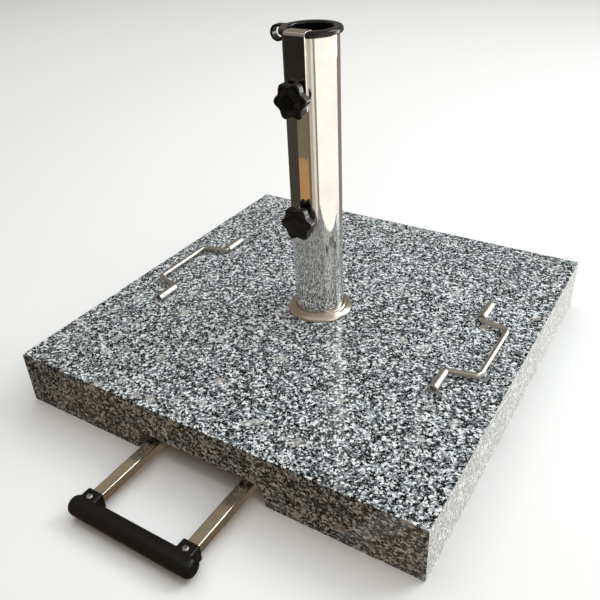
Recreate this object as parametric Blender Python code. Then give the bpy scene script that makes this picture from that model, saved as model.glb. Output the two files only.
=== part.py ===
"""Parasol base: a square granite slab with a clamping stand tube, two folding
carrying bails, a pull-out trolley handle and two rear wheels.

Units are metres and +Z is up. The trolley handle pulls out towards -Y, the wheels
are at +Y, and the stand tube stands on the middle of the slab. The origin is the
middle of the pole seat, the flat top of the plug in the foot of the tube. Heights
in this file are above the ground: the DATUM empty lowers everything by the height
of the seat, so that the seat lies at the origin.
"""
import math

import bmesh
import bpy
from mathutils import Vector

GAP = 0.0003                  # clearance between two pieces that touch

# Granite slab
SLAB_SIDE = 0.500
SLAB_HEIGHT = 0.066
SLAB_ARRIS = 0.002
CHANNEL_TOP_WIDTH = 0.158     # recess in the underside, from front to back
CHANNEL_FOOT_WIDTH = 0.166
CHANNEL_HEIGHT = 0.026
CHANNEL_LIP_RADIUS = 0.004
HALF = SLAB_SIDE / 2

# Stand tube, its seat plug and the flange ring
TUBE_RADIUS = 0.029
TUBE_WALL = 0.0015
TUBE_TOP = 0.3873
TUBE_FOOT = SLAB_HEIGHT + GAP
TUBE_BORE = TUBE_RADIUS - TUBE_WALL
SEAT_HEIGHT = 0.077           # top of the plug above the ground
FLANGE_RADIUS = 0.039
ANCHOR_RADIUS = 0.006
ANCHOR_HEAD = 0.0075
ANCHOR_WASHER = 0.003

# Reducer collar with its hook, and the strip that hangs over it
REDUCER_BORE = 0.023
REDUCER_FOOT = 0.300
REDUCER_TOP = 0.3935
LIP_RADIUS = 0.0325
HOOK_WIDTH = 0.009
HOOK_THICKNESS = 0.0027
HOOK_CURL = 0.0071            # radius of the curl's middle line
HOOK_REACH = 0.0377           # from the tube's axis to the middle of the curl
STRIP_WIDTH = 0.0245
STRIP_THICKNESS = 0.0028
STRIP_FOOT = 0.318
STRIP_OUTER = 0.0310          # middle line of the outer leg, from the tube's axis
STRIP_INNER = 0.0166
STRIP_TOP = 0.3939
STRIP_BEND = 0.0026

# Clamp screws: threaded boss, stud, star knob and cap
KNOB_HEIGHTS = {"upper": 0.330, "lower": 0.196}
KNOB_BACK = 0.0362            # distance of the knob's back from the tube's axis
KNOB_MEAN_RADIUS = 0.0177
KNOB_LOBE = 0.0020
KNOB_LOBES = 6
KNOB_STEPS = 36
KNOB_THICKNESS = 0.0095
KNOB_PHASE = math.radians(5)
CAP_RADIUS = 0.0085
BOSS_RADIUS = 0.008
BOSS_FACE = 0.0352
STUD_RADIUS = 0.004
STUD_TIPS = {"upper": 0.0184, "lower": 0.0255}

# Carrying bails and their sleeves
BAIL_AXIS_X = 0.185
BAIL_REACH = 0.034
BAIL_LEG_Y = 0.053            # half width between the legs at the axis
BAIL_GRIP_Y = 0.047           # and at the grip
ROD_RADIUS = 0.003
ROD_END_Y = 0.085
SLEEVE_RADIUS = 0.005
SLEEVE_BORE = 0.0034
SLEEVE_Y = (0.0575, 0.0885)
SLEEVE_AXIS_Z = SLAB_HEIGHT + GAP + SLEEVE_RADIUS
SLEEVE_STUD_RADIUS = 0.003
SLEEVE_STUD_FOOT = 0.004
COUNTERBORE_RADIUS = 0.010
COUNTERBORE_DEPTH = 0.014

# Trolley: rails, guide tubes and grip
RAIL_X = 0.060
RAIL_SIZE = (0.014, 0.012)
RAIL_WALL = 0.0012
RAIL_Z = 0.0134
RAIL_Y = (-0.3445, 0.060)
GUIDE_SIZE = (0.020, 0.019)
GUIDE_WALL = 0.0015
GUIDE_Y = (-0.215, 0.195)
BUSH_LENGTH = 0.040
SLIDER_SIZE = (0.0164, 0.0154)
SLIDER_LENGTH = 0.020
GRIP_Y = -0.3483
GRIP_RADIUS = 0.0103
GRIP_HALF_LENGTH = 0.0755
SOCKET_BACK = -0.331
SOCKET_SIZE = (0.020, 0.0194)
GRIP_SCREW_Y = -0.3395
PLATE_THICKNESS = 0.0025
PLATE_LENGTH = 0.040
PLATE_WIDTH = 0.144
PLATE_Y = {"front": -0.150, "rear": 0.130}
PLATE_SCREW_X = 0.025

# Wheels in the wells of the back edge
WHEEL_X = 0.108
WHEEL_Y = 0.242
WHEEL_Z = 0.021
WHEEL_RADIUS = 0.020
WHEEL_WIDTH = 0.020
HUB_RADIUS = 0.013
AXLE_RADIUS = 0.004
WELL_X = (0.070, 0.128)
WELL_FRONT = 0.208
WELL_HEIGHT = 0.046
BRACKET_WALL = 0.002
BRACKET_INNER = 0.0235
BRACKET_Y = (0.212, 0.252)
BRACKET_FOOT = 0.014
BRACKET_SCREW_Y = 0.2195

FINE = 48                     # sides of large round pieces
MEDIUM = 24
SMALL = 12

FINISHES = {                  # base colour, roughness, metallic
    "granite": ((0.45, 0.46, 0.49, 1.0), 0.25, 0.0),
    "polished steel": ((0.78, 0.76, 0.72, 1.0), 0.12, 1.0),
    "satin steel": ((0.66, 0.64, 0.60, 1.0), 0.28, 1.0),
    "zinc steel": ((0.55, 0.56, 0.58, 1.0), 0.40, 1.0),
    "black plastic": ((0.012, 0.012, 0.013, 1.0), 0.32, 0.0),
    "grey plastic": ((0.10, 0.10, 0.11, 1.0), 0.50, 0.0),
    "rubber": ((0.02, 0.02, 0.02, 1.0), 0.75, 0.0),
}

TOWARDS_FRONT = (math.radians(90), 0.0, 0.0)   # local +Z turned to -Y
TOWARDS_RIGHT = (0.0, math.radians(90), 0.0)   # local +Z turned to +X


def clear_scene():
    """Remove every object of the start-up scene."""
    for old in list(bpy.data.objects):
        bpy.data.objects.remove(old, do_unlink=True)


def finish_material(name, finish):
    """Return a Principled material of the named finish for one piece."""
    colour, roughness, metallic = FINISHES[finish]
    material = bpy.data.materials.new(f"{name} {finish}")
    material.use_nodes = True
    shader = material.node_tree.nodes["Principled BSDF"]
    shader.inputs["Base Color"].default_value = colour
    shader.inputs["Roughness"].default_value = roughness
    shader.inputs["Metallic"].default_value = metallic
    return material


def add_empty(name, location, parent=None):
    """Add an empty, such as a joint's axis, at a location."""
    empty = bpy.data.objects.new(name, None)
    bpy.context.collection.objects.link(empty)
    empty.location = location
    empty.parent = parent
    return empty


def add_mesh(name, shape, location=(0, 0, 0), rotation=(0, 0, 0), parent=None):
    """Turn a bmesh into an object, with its faces pointing out."""
    bmesh.ops.recalc_face_normals(shape, faces=shape.faces)
    mesh = bpy.data.meshes.new(name)
    shape.to_mesh(mesh)
    shape.free()
    mesh.shade_smooth()
    mesh.set_sharp_from_angle(angle=math.radians(35))
    piece = bpy.data.objects.new(name, mesh)
    bpy.context.collection.objects.link(piece)
    piece.location = location
    piece.rotation_euler = rotation
    piece.parent = parent
    return piece


def add_piece(name, shape, finish, location=(0, 0, 0), rotation=(0, 0, 0), parent=None):
    """Add one sub-part with its own material."""
    piece = add_mesh(name, shape, location, rotation, parent)
    piece.data.materials.append(finish_material(name, finish))
    return piece


def add_tool(name, shape, location=(0, 0, 0), rotation=(0, 0, 0), parent=None):
    """Add a body that only cuts or extends another one."""
    tool = add_mesh(name, shape, location, rotation, parent)
    tool.hide_render = True
    tool.display_type = "WIRE"
    return tool


def combine(piece, tool, operation="DIFFERENCE"):
    """Cut a tool from a piece, or join it with UNION."""
    modifier = piece.modifiers.new(tool.name, "BOOLEAN")
    modifier.operation = operation
    modifier.object = tool
    modifier.solver = "EXACT"


def skin(loops, closed=False):
    """Cover a row of equal loops with quads, and cap its ends unless it closes."""
    shape = bmesh.new()
    rows = [[shape.verts.new(point) for point in loop] for loop in loops]
    pairs = list(zip(rows, rows[1:]))
    if closed:
        pairs.append((rows[-1], rows[0]))
    else:
        shape.faces.new(rows[0])
        shape.faces.new(rows[-1])
    for first, second in pairs:
        count = len(first)
        for k in range(count):
            after = (k + 1) % count
            shape.faces.new((first[k], first[after], second[after], second[k]))
    return shape


def circle(radius, height, steps):
    """Return the points of a level circle round the Z axis."""
    angles = [math.tau * k / steps for k in range(steps)]
    return [(radius * math.cos(a), radius * math.sin(a), height) for a in angles]


def turned(profile, steps, ring=False):
    """Turn (radius, height) points round Z, as a ring or with flat ends."""
    return skin([circle(radius, height, steps) for radius, height in profile], closed=ring)


def cylinder(radius, bottom, top, steps=MEDIUM):
    """Return a plain cylinder on the Z axis, for cutters and shanks."""
    return turned([(radius, bottom), (radius, top)], steps)


def box(x_range, y_range, z_range):
    """Return a block between two corners."""
    loops = []
    for z in z_range:
        corners = ((0, 0), (1, 0), (1, 1), (0, 1))
        loops.append([(x_range[i], y_range[j], z) for i, j in corners])
    return skin(loops)


def rounded_rectangle(width, height, radius, y, steps=3):
    """Return a rounded rectangle across the Y axis, centred on it."""
    points = []
    for quarter in range(4):
        start = quarter * math.pi / 2
        middle = start + math.pi / 4
        centre_x = math.copysign(width / 2 - radius, math.cos(middle))
        centre_z = math.copysign(height / 2 - radius, math.sin(middle))
        for k in range(steps + 1):
            angle = start + k * math.pi / 2 / steps
            points.append((centre_x + radius * math.cos(angle), y,
                           centre_z + radius * math.sin(angle)))
    return points


def hollow_bar(outer, wall, radius, y_range):
    """Return a rectangular tube along Y, open at both ends."""
    width, height = outer
    inner = (width - 2 * wall, height - 2 * wall)
    inner_radius = max(radius - wall, radius / 3)
    near, far = y_range
    return skin([
        rounded_rectangle(width, height, radius, near),
        rounded_rectangle(width, height, radius, far),
        rounded_rectangle(*inner, inner_radius, far),
        rounded_rectangle(*inner, inner_radius, near),
    ], closed=True)


def solid_bar(size, radius, y_range):
    """Return a full rectangular bar along Y."""
    return skin([rounded_rectangle(*size, radius, y) for y in y_range])


def hexagon_head(across_flats, bottom, top):
    """Return a hexagonal prism on the Z axis."""
    return cylinder(across_flats / math.sqrt(3), bottom, top, 6)


def arc(centre, radius, start, end, steps):
    """Return points of a flat arc, angles in degrees."""
    points = []
    for k in range(steps + 1):
        angle = math.radians(start + (end - start) * k / steps)
        points.append((centre[0] + radius * math.cos(angle),
                       centre[1] + radius * math.sin(angle)))
    return points


def ribbon(path, thickness, place):
    """Sweep a flat strip's section along a flat path.

    place(u, v, side) puts a point of the path's plane at the strip's edge, where
    side is -1 or +1.
    """
    loops = []
    for k, point in enumerate(path):
        before = Vector(path[max(k - 1, 0)])
        after = Vector(path[min(k + 1, len(path) - 1)])
        along = (after - before).normalized()
        across = Vector((-along.y, along.x)) * (thickness / 2)
        outer = Vector(point) + across
        inner = Vector(point) - across
        loops.append([place(*outer, -1), place(*outer, 1), place(*inner, 1), place(*inner, -1)])
    return skin(loops)


def rod(path, radius, steps=10):
    """Sweep a round section along a path that lies in a level plane."""
    loops = []
    for k, point in enumerate(path):
        before = Vector(path[max(k - 1, 0)])
        after = Vector(path[min(k + 1, len(path) - 1)])
        along = (after - before).normalized()
        across = Vector((-along.y, along.x, 0.0))
        ring = []
        for step in range(steps):
            angle = math.tau * step / steps
            offset = across * math.cos(angle) + Vector((0, 0, math.sin(angle)))
            ring.append(Vector(point) + offset * radius)
        loops.append(ring)
    return skin(loops)


# Slab -------------------------------------------------------------------------

def channel_outline(y):
    """Return the section of the underside channel at a Y, with rounded lips."""
    top = CHANNEL_TOP_WIDTH / 2
    foot = CHANNEL_FOOT_WIDTH / 2
    lip = CHANNEL_LIP_RADIUS
    below = -0.005
    right = [(foot + lip, below), (foot + lip, 0.0)]
    right += arc((foot + lip, lip), lip, 270, 190, 3)[1:]
    right += [(top, CHANNEL_HEIGHT)]
    left = [(-x, z) for x, z in reversed(right)]
    return [(x, y, z) for x, z in right + left]


def make_slab(datum):
    """Granite slab with its channel, wheel wells, bolt and screw holes."""
    slab = add_piece("granite_slab", box((-HALF, HALF), (-HALF, HALF), (0, SLAB_HEIGHT)),
                     "granite", parent=datum)
    arris = slab.modifiers.new("arris", "BEVEL")
    arris.width = SLAB_ARRIS
    arris.segments = 2
    past = HALF + 0.01
    channel = skin([channel_outline(-past), channel_outline(past)])
    combine(slab, add_tool("channel_cutter", channel, parent=datum))
    for side in (-1, 1):
        edges = sorted(side * x for x in WELL_X)
        well = box(edges, (WELL_FRONT, past), (-0.01, WELL_HEIGHT))
        combine(slab, add_tool(f"well_cutter_{side}", well, parent=datum))
        hole = cylinder(0.0027, WELL_HEIGHT - 0.005, WELL_HEIGHT + 0.0165, SMALL)
        combine(slab, add_tool(f"bracket_hole_{side}", hole,
                               (side * WHEEL_X, BRACKET_SCREW_Y, 0), parent=datum))
    bolt_hole = cylinder(0.007, -0.01, SLAB_HEIGHT + 0.01, SMALL)
    combine(slab, add_tool("anchor_hole", bolt_hole, parent=datum))
    for x, y in sleeve_places():
        shaft = cylinder(0.0035, -0.01, SLAB_HEIGHT + 0.01, SMALL)
        bore = cylinder(COUNTERBORE_RADIUS, -0.01, COUNTERBORE_DEPTH, SMALL)
        combine(slab, add_tool(f"stud_hole_{x}_{y}", shaft, (x, y, 0), parent=datum))
        combine(slab, add_tool(f"counterbore_{x}_{y}", bore, (x, y, 0), parent=datum))
    for y in PLATE_Y.values():
        for x in (-PLATE_SCREW_X, PLATE_SCREW_X):
            hole = cylinder(0.0027, CHANNEL_HEIGHT - 0.005, CHANNEL_HEIGHT + 0.0205, SMALL)
            combine(slab, add_tool(f"plate_hole_{x}_{y}", hole, (x, y, 0), parent=datum))


# Stand tube -------------------------------------------------------------------

def make_tube(datum):
    """Stand tube with its clamp screw holes, seat plug, flange ring and anchor bolt."""
    tube = add_piece("stand_tube", turned([
        (TUBE_RADIUS, TUBE_FOOT), (TUBE_RADIUS, TUBE_TOP),
        (TUBE_BORE, TUBE_TOP), (TUBE_BORE, TUBE_FOOT)], FINE, ring=True),
        "polished steel", parent=datum)
    for name, height in KNOB_HEIGHTS.items():
        hole = cylinder(STUD_RADIUS + 0.0005, 0.015, 0.045, SMALL)
        combine(tube, add_tool(f"{name}_tube_hole", hole, (0, 0, height),
                               TOWARDS_FRONT, datum))

    plug_radius = TUBE_BORE - GAP
    plug = add_piece("seat_plug", turned([
        (plug_radius, TUBE_FOOT), (plug_radius, SEAT_HEIGHT - 0.001),
        (plug_radius - 0.001, SEAT_HEIGHT)], MEDIUM), "zinc steel", parent=datum)
    blind = cylinder(ANCHOR_RADIUS + GAP, TUBE_FOOT - 0.01, SEAT_HEIGHT - 0.003, SMALL)
    combine(plug, add_tool("plug_thread", blind, parent=datum))

    foot = TUBE_FOOT
    near = TUBE_RADIUS + GAP
    add_piece("flange_ring", turned([
        (near, foot), (FLANGE_RADIUS, foot), (FLANGE_RADIUS, foot + 0.0012),
        (FLANGE_RADIUS - 0.0012, foot + 0.0026), (FLANGE_RADIUS - 0.004, foot + 0.0042),
        (near + 0.0030, foot + 0.0052), (near + 0.0022, foot + 0.0066),
        (near, foot + 0.0072)], FINE, ring=True), "polished steel", parent=datum)

    washer_top = CHANNEL_HEIGHT - GAP
    washer_foot = washer_top - ANCHOR_WASHER
    add_piece("anchor_washer", turned([
        (0.0066, washer_foot), (0.020, washer_foot), (0.020, washer_top),
        (0.0066, washer_top)], MEDIUM, ring=True), "zinc steel", parent=datum)
    head_top = washer_foot - GAP
    bolt = add_piece("anchor_bolt", hexagon_head(0.019, head_top - ANCHOR_HEAD, head_top),
                     "zinc steel", parent=datum)
    shank = cylinder(ANCHOR_RADIUS, head_top - 0.002, SEAT_HEIGHT - 0.0035, SMALL)
    combine(bolt, add_tool("anchor_shank", shank, parent=datum), "UNION")


# Reducer collar and clamp strip -----------------------------------------------

def hook_path():
    """Return the middle line of the hook: out over the lip, down and back in."""
    centre_z = REDUCER_TOP - 0.0002 - HOOK_THICKNESS / 2 - HOOK_CURL
    curl = arc((HOOK_REACH, centre_z), HOOK_CURL, 90, -110, 10)
    tip = (TUBE_RADIUS + 0.0030, centre_z - HOOK_CURL * 0.55)
    return [(TUBE_RADIUS - 0.0005, curl[0][1]), (HOOK_REACH - 0.003, curl[0][1])] + curl + [tip]


def make_reducer(datum):
    """Reducer sleeve with its collar lip, the screw's hole and the side hook."""
    sleeve = TUBE_BORE - GAP
    lip_foot = TUBE_TOP + GAP
    middle = (lip_foot + REDUCER_TOP) / 2
    reducer = add_piece("reducer_collar", turned([
        (REDUCER_BORE, REDUCER_FOOT), (sleeve, REDUCER_FOOT), (sleeve, lip_foot),
        (LIP_RADIUS - 0.0010, lip_foot), (LIP_RADIUS, lip_foot + 0.0012),
        (LIP_RADIUS, middle + 0.0010), (LIP_RADIUS - 0.0008, REDUCER_TOP - 0.0008),
        (LIP_RADIUS - 0.0026, REDUCER_TOP), (REDUCER_BORE + 0.0020, REDUCER_TOP),
        (REDUCER_BORE + 0.0005, REDUCER_TOP - 0.0006), (REDUCER_BORE, REDUCER_TOP - 0.0020)],
        FINE, ring=True), "black plastic", parent=datum)
    hook = ribbon(hook_path(), HOOK_THICKNESS,
                  lambda u, z, side: (-u, side * HOOK_WIDTH / 2, z))
    combine(reducer, add_tool("hook_lug", hook, parent=datum), "UNION")
    hole = cylinder(STUD_RADIUS + 0.002, 0.010, 0.045, SMALL)
    combine(reducer, add_tool("reducer_hole", hole, (0, 0, KNOB_HEIGHTS["upper"]),
                              TOWARDS_FRONT, datum))
    half = STRIP_WIDTH / 2 + GAP
    edge = STRIP_OUTER - STRIP_THICKNESS / 2 - 2 * GAP
    floor = STRIP_TOP - STRIP_THICKNESS - 2 * GAP
    front = box((-half, half), (-0.045, -edge), (TUBE_TOP - 0.005, STRIP_TOP + 0.005))
    over = box((-half, half), (-0.045, -0.010), (floor, STRIP_TOP + 0.005))
    combine(reducer, add_tool("strip_notch_front", front, parent=datum))
    combine(reducer, add_tool("strip_notch_top", over, parent=datum))


def strip_path():
    """Return the strip's middle line, from the outer foot over the lip to the inner foot."""
    top = STRIP_TOP - STRIP_THICKNESS / 2
    bend_z = top - STRIP_BEND
    outer = arc((STRIP_OUTER - STRIP_BEND, bend_z), STRIP_BEND, 0, 90, 5)
    inner = arc((STRIP_INNER + STRIP_BEND, bend_z), STRIP_BEND, 90, 180, 5)
    return [(STRIP_OUTER, STRIP_FOOT)] + outer + inner + [(STRIP_INNER, STRIP_FOOT)]


def make_strip(datum):
    """Flat strip bent over the collar; its inner leg is the pressure plate."""
    strip = add_piece("clamp_strip", ribbon(
        strip_path(), STRIP_THICKNESS,
        lambda u, z, side: (side * STRIP_WIDTH / 2, -u, z)), "satin steel", parent=datum)
    middle = (STRIP_OUTER + STRIP_INNER) / 2
    hole = cylinder(BOSS_RADIUS + 0.0005, middle, STRIP_OUTER + 0.005, 24)
    combine(strip, add_tool("strip_hole", hole, (0, 0, KNOB_HEIGHTS["upper"]),
                            TOWARDS_FRONT, datum))


# Clamp screws -----------------------------------------------------------------

def lobed_loop(scale, height, steps=KNOB_STEPS):
    """Return the knob's six-lobed outline, shrunk by scale, at a height."""
    points = []
    for k in range(steps):
        angle = math.tau * k / steps
        lobe = KNOB_LOBE * math.cos(KNOB_LOBES * (angle - KNOB_PHASE))
        radius = (KNOB_MEAN_RADIUS + lobe) * scale
        points.append((radius * math.cos(angle), radius * math.sin(angle), height))
    return points


def knob_shape():
    """Return the star knob: lobed rim and domed face, back at height 0."""
    face = KNOB_THICKNESS
    return skin([
        lobed_loop(0.92, 0.0), lobed_loop(1.0, 0.0012), lobed_loop(1.0, face - 0.0022),
        lobed_loop(0.95, face - 0.0006), circle(0.0140, face, KNOB_STEPS),
        circle(0.0105, face + 0.0008, KNOB_STEPS)])


def make_clamp_screw(name, height, datum):
    """One clamp screw: welded boss, and stud, star knob and cap on its turning axis."""
    boss = add_piece(f"{name}_boss", turned([
        (BOSS_RADIUS, 0.020), (BOSS_RADIUS, BOSS_FACE - 0.0008),
        (BOSS_RADIUS - 0.0008, BOSS_FACE)], 24), "zinc steel",
        (0, 0, height), TOWARDS_FRONT, datum)
    outside = cylinder(TUBE_RADIUS + GAP, height - 0.02, height + 0.02, FINE)
    combine(boss, add_tool(f"{name}_boss_seat", outside, parent=datum))
    thread = cylinder(STUD_RADIUS + GAP, 0.010, 0.045, SMALL)
    combine(boss, add_tool(f"{name}_boss_thread", thread, (0, 0, height), TOWARDS_FRONT, datum))

    axis = add_empty(f"{name}_screw_axis", (0, 0, height), datum)
    axis.rotation_euler = TOWARDS_FRONT
    bore_end = KNOB_BACK + 0.0070
    add_piece(f"{name}_knob_stud", turned([
        (STUD_RADIUS - 0.001, STUD_TIPS[name]), (STUD_RADIUS, STUD_TIPS[name] + 0.001),
        (STUD_RADIUS, bore_end - GAP)], SMALL), "zinc steel", parent=axis)
    knob = add_piece(f"{name}_knob", knob_shape(), "black plastic",
                     (0, 0, KNOB_BACK), parent=axis)
    bore = cylinder(STUD_RADIUS + GAP, KNOB_BACK - 0.01, bore_end, SMALL)
    combine(knob, add_tool(f"{name}_knob_bore", bore, parent=axis))
    seat = KNOB_BACK + KNOB_THICKNESS - 0.0008
    recess = cylinder(CAP_RADIUS + GAP, seat, seat + 0.01, MEDIUM)
    combine(knob, add_tool(f"{name}_cap_recess", recess, parent=axis))
    add_piece(f"{name}_knob_cap", turned([
        (CAP_RADIUS, seat + GAP), (CAP_RADIUS, seat + 0.0016), (CAP_RADIUS - 0.0010, seat + 0.0022),
        (0.0030, seat + 0.0027)], MEDIUM), "black plastic", parent=axis)


# Carrying bails ---------------------------------------------------------------

def sleeve_places():
    """Return the x and y of the four sleeves' studs."""
    middle = sum(SLEEVE_Y) / 2
    return [(x * BAIL_AXIS_X, y * middle) for x in (-1, 1) for y in (-1, 1)]


def make_bail(name, side, datum):
    """Bent rod of one bail, lying flat and outwards; its origin is on its hinge axis."""
    axis = add_empty(f"{name}_axis", (side * BAIL_AXIS_X, 0, SLEEVE_AXIS_Z), datum)
    foot, grip = 0.0045, 0.008
    half = [(0.0, ROD_END_Y)]
    half += arc((foot, BAIL_LEG_Y + foot), foot, 180, 265, 4)
    half += reversed(arc((BAIL_REACH - grip, BAIL_GRIP_Y - grip), grip, 0, 80, 5))
    path = [(side * x, y, 0.0) for x, y in half]
    path += [(x, -y, z) for x, y, z in reversed(path)]
    add_piece(name, rod(path, ROD_RADIUS), "satin steel", parent=axis)


def make_sleeve(name, side, end, datum):
    """One bail sleeve with its welded stud, and the washer and nut under the slab."""
    near, far = SLEEVE_Y
    middle = (near + far) / 2
    x = side * BAIL_AXIS_X
    sleeve = add_piece(f"{name}_sleeve", turned([
        (SLEEVE_RADIUS, -(far - near) / 2), (SLEEVE_RADIUS, (far - near) / 2),
        (SLEEVE_BORE, (far - near) / 2), (SLEEVE_BORE, -(far - near) / 2)], 24, ring=True),
        "satin steel", (x, end * middle, SLEEVE_AXIS_Z), TOWARDS_FRONT, datum)
    stud = cylinder(SLEEVE_STUD_RADIUS, SLEEVE_STUD_FOOT, SLEEVE_AXIS_Z - 0.0041, SMALL)
    combine(sleeve, add_tool(f"{name}_stud", stud, (x, end * middle, 0), parent=datum), "UNION")
    top = COUNTERBORE_DEPTH - GAP
    hole = SLEEVE_STUD_RADIUS + GAP
    add_piece(f"{name}_washer", turned([
        (hole, top - 0.0015), (0.0085, top - 0.0015), (0.0085, top), (hole, top)],
        SMALL, ring=True), "zinc steel", (x, end * middle, 0), parent=datum)
    nut_top = top - 0.0015 - GAP
    nut = add_piece(f"{name}_nut", hexagon_head(0.010, nut_top - 0.005, nut_top),
                    "zinc steel", (x, end * middle, 0), parent=datum)
    thread = cylinder(hole, 0, COUNTERBORE_DEPTH, SMALL)
    combine(nut, add_tool(f"{name}_nut_thread", thread, (x, end * middle, 0), parent=datum))


# Trolley ----------------------------------------------------------------------

def make_guide(name, side, datum):
    """Fixed guide tube of one rail, with the plastic bush in its mouth."""
    place = (side * RAIL_X, 0, RAIL_Z)
    near, far = GUIDE_Y
    add_piece(f"{name}_guide_tube", hollow_bar(GUIDE_SIZE, GUIDE_WALL, 0.002, GUIDE_Y),
              "zinc steel", place, parent=datum)
    bush = add_piece(f"{name}_guide_bush",
                     solid_bar(SLIDER_SIZE, 0.001, (near - 0.001, near + BUSH_LENGTH)),
                     "grey plastic", place, parent=datum)
    flange = solid_bar(GUIDE_SIZE, 0.002, (near - 0.0025, near - GAP))
    combine(bush, add_tool(f"{name}_bush_flange", flange, place, parent=datum), "UNION")
    width, height = RAIL_SIZE
    passage = solid_bar((width + 2 * GAP, height + 2 * GAP), 0.0015,
                        (near - 0.01, near + BUSH_LENGTH + 0.01))
    combine(bush, add_tool(f"{name}_bush_passage", passage, place, parent=datum))


def make_rail(name, side, datum, handle):
    """One sliding rail with its rear slider and its screw in the grip."""
    place = (side * RAIL_X, 0, RAIL_Z)
    near, far = RAIL_Y
    width, height = RAIL_SIZE
    rail = add_piece(f"{name}_rail", hollow_bar(RAIL_SIZE, RAIL_WALL, 0.0018, RAIL_Y),
                     "polished steel", place, parent=handle)
    screw_place = (side * RAIL_X, GRIP_SCREW_Y, 0)
    hole = cylinder(0.0020, RAIL_Z, RAIL_Z + 0.02, SMALL)
    combine(rail, add_tool(f"{name}_rail_hole", hole, screw_place, parent=handle))

    slider = add_piece(f"{name}_rail_slider",
                       solid_bar(SLIDER_SIZE, 0.001, (far + GAP, far + SLIDER_LENGTH)),
                       "grey plastic", place, parent=handle)
    inside = 2 * (RAIL_WALL + GAP)
    spigot = solid_bar((width - inside, height - inside), 0.0008, (far - 0.015, far + 0.005))
    combine(slider, add_tool(f"{name}_spigot", spigot, place, parent=handle), "UNION")

    seat = RAIL_Z + SOCKET_SIZE[1] / 2 - 0.0012 + GAP
    screw = add_piece(f"{name}_grip_screw", turned([
        (0.0040, seat), (0.0040, seat + 0.0010), (0.0034, seat + 0.0018),
        (0.0018, seat + 0.0022)], 20), "zinc steel", screw_place, parent=handle)
    shank = cylinder(0.0017, seat - 0.0085, seat + 0.0005, SMALL)
    combine(screw, add_tool(f"{name}_grip_shank", shank, screw_place, parent=handle), "UNION")
    slot = box((-0.0004, 0.0004), (-0.0020, 0.0020), (seat + 0.0012, seat + 0.01))
    cross = box((-0.0020, 0.0020), (-0.0004, 0.0004), (seat + 0.0012, seat + 0.01))
    combine(screw, add_tool(f"{name}_slot", slot, screw_place, parent=handle))
    combine(screw, add_tool(f"{name}_cross", cross, screw_place, parent=handle))


def bar_loop(x, scale, steps=20):
    """Return the round section of the grip's bar at an X."""
    radius = GRIP_RADIUS * scale
    angles = [math.tau * (k + 0.5) / steps for k in range(steps)]
    return [(x, radius * math.cos(a), radius * math.sin(a)) for a in angles]


def make_grip(handle):
    """Plastic grip: a round bar with a socket for each rail."""
    place = (0, GRIP_Y, RAIL_Z)
    end = GRIP_HALF_LENGTH
    rounding = 0.007
    ends = [(end - rounding * (1 - math.sin(a)), 1 - 0.42 * (1 - math.cos(a)))
            for a in [math.radians(d) for d in (0, 30, 60, 80)]]
    stations = [(-x, scale) for x, scale in reversed(ends)] + ends
    grip = add_piece("trolley_grip", skin([bar_loop(x, s) for x, s in stations]),
                     "black plastic", place, parent=handle)
    for side in (-1, 1):
        where = (side * RAIL_X, 0, RAIL_Z)
        socket = solid_bar(SOCKET_SIZE, 0.003, (GRIP_Y - 0.002, SOCKET_BACK))
        combine(grip, add_tool(f"socket_{side}", socket, where, parent=handle), "UNION")
    for side in (-1, 1):
        where = (side * RAIL_X, 0, RAIL_Z)
        width, height = RAIL_SIZE
        pocket = solid_bar((width + 2 * GAP, height + 2 * GAP), 0.0015,
                           (RAIL_Y[0] - GAP, SOCKET_BACK + 0.01))
        combine(grip, add_tool(f"pocket_{side}", pocket, where, parent=handle))
        screw_place = (side * RAIL_X, GRIP_SCREW_Y, RAIL_Z)
        top = SOCKET_SIZE[1] / 2
        hole = cylinder(0.0020, 0.0, top + 0.01, SMALL)
        recess = cylinder(0.0044, top - 0.0012, top + 0.01, 20)
        combine(grip, add_tool(f"screw_hole_{side}", hole, screw_place, parent=handle))
        combine(grip, add_tool(f"screw_recess_{side}", recess, screw_place, parent=handle))


def make_cross_plate(name, y, datum):
    """Steel plate that holds both guide tubes to the stone, with its two screws."""
    top = CHANNEL_HEIGHT - GAP
    foot = top - PLATE_THICKNESS
    half = PLATE_WIDTH / 2
    plate = add_piece(f"{name}_cross_plate",
                      box((-half, half), (y - PLATE_LENGTH / 2, y + PLATE_LENGTH / 2), (foot, top)),
                      "zinc steel", parent=datum)
    for side, x in (("left", -PLATE_SCREW_X), ("right", PLATE_SCREW_X)):
        hole = cylinder(0.0027, foot - 0.01, top + 0.01, SMALL)
        combine(plate, add_tool(f"{name}_{side}_plate_hole", hole, (x, y, 0), parent=datum))
        screw = add_piece(f"{name}_plate_screw_{side}",
                          hexagon_head(0.008, foot - GAP - 0.0035, foot - GAP),
                          "zinc steel", (x, y, 0), parent=datum)
        shank = cylinder(0.0024, foot - 0.001, CHANNEL_HEIGHT + 0.018, SMALL)
        combine(screw, add_tool(f"{name}_{side}_shank", shank, (x, y, 0), parent=datum), "UNION")


# Wheels -----------------------------------------------------------------------

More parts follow.
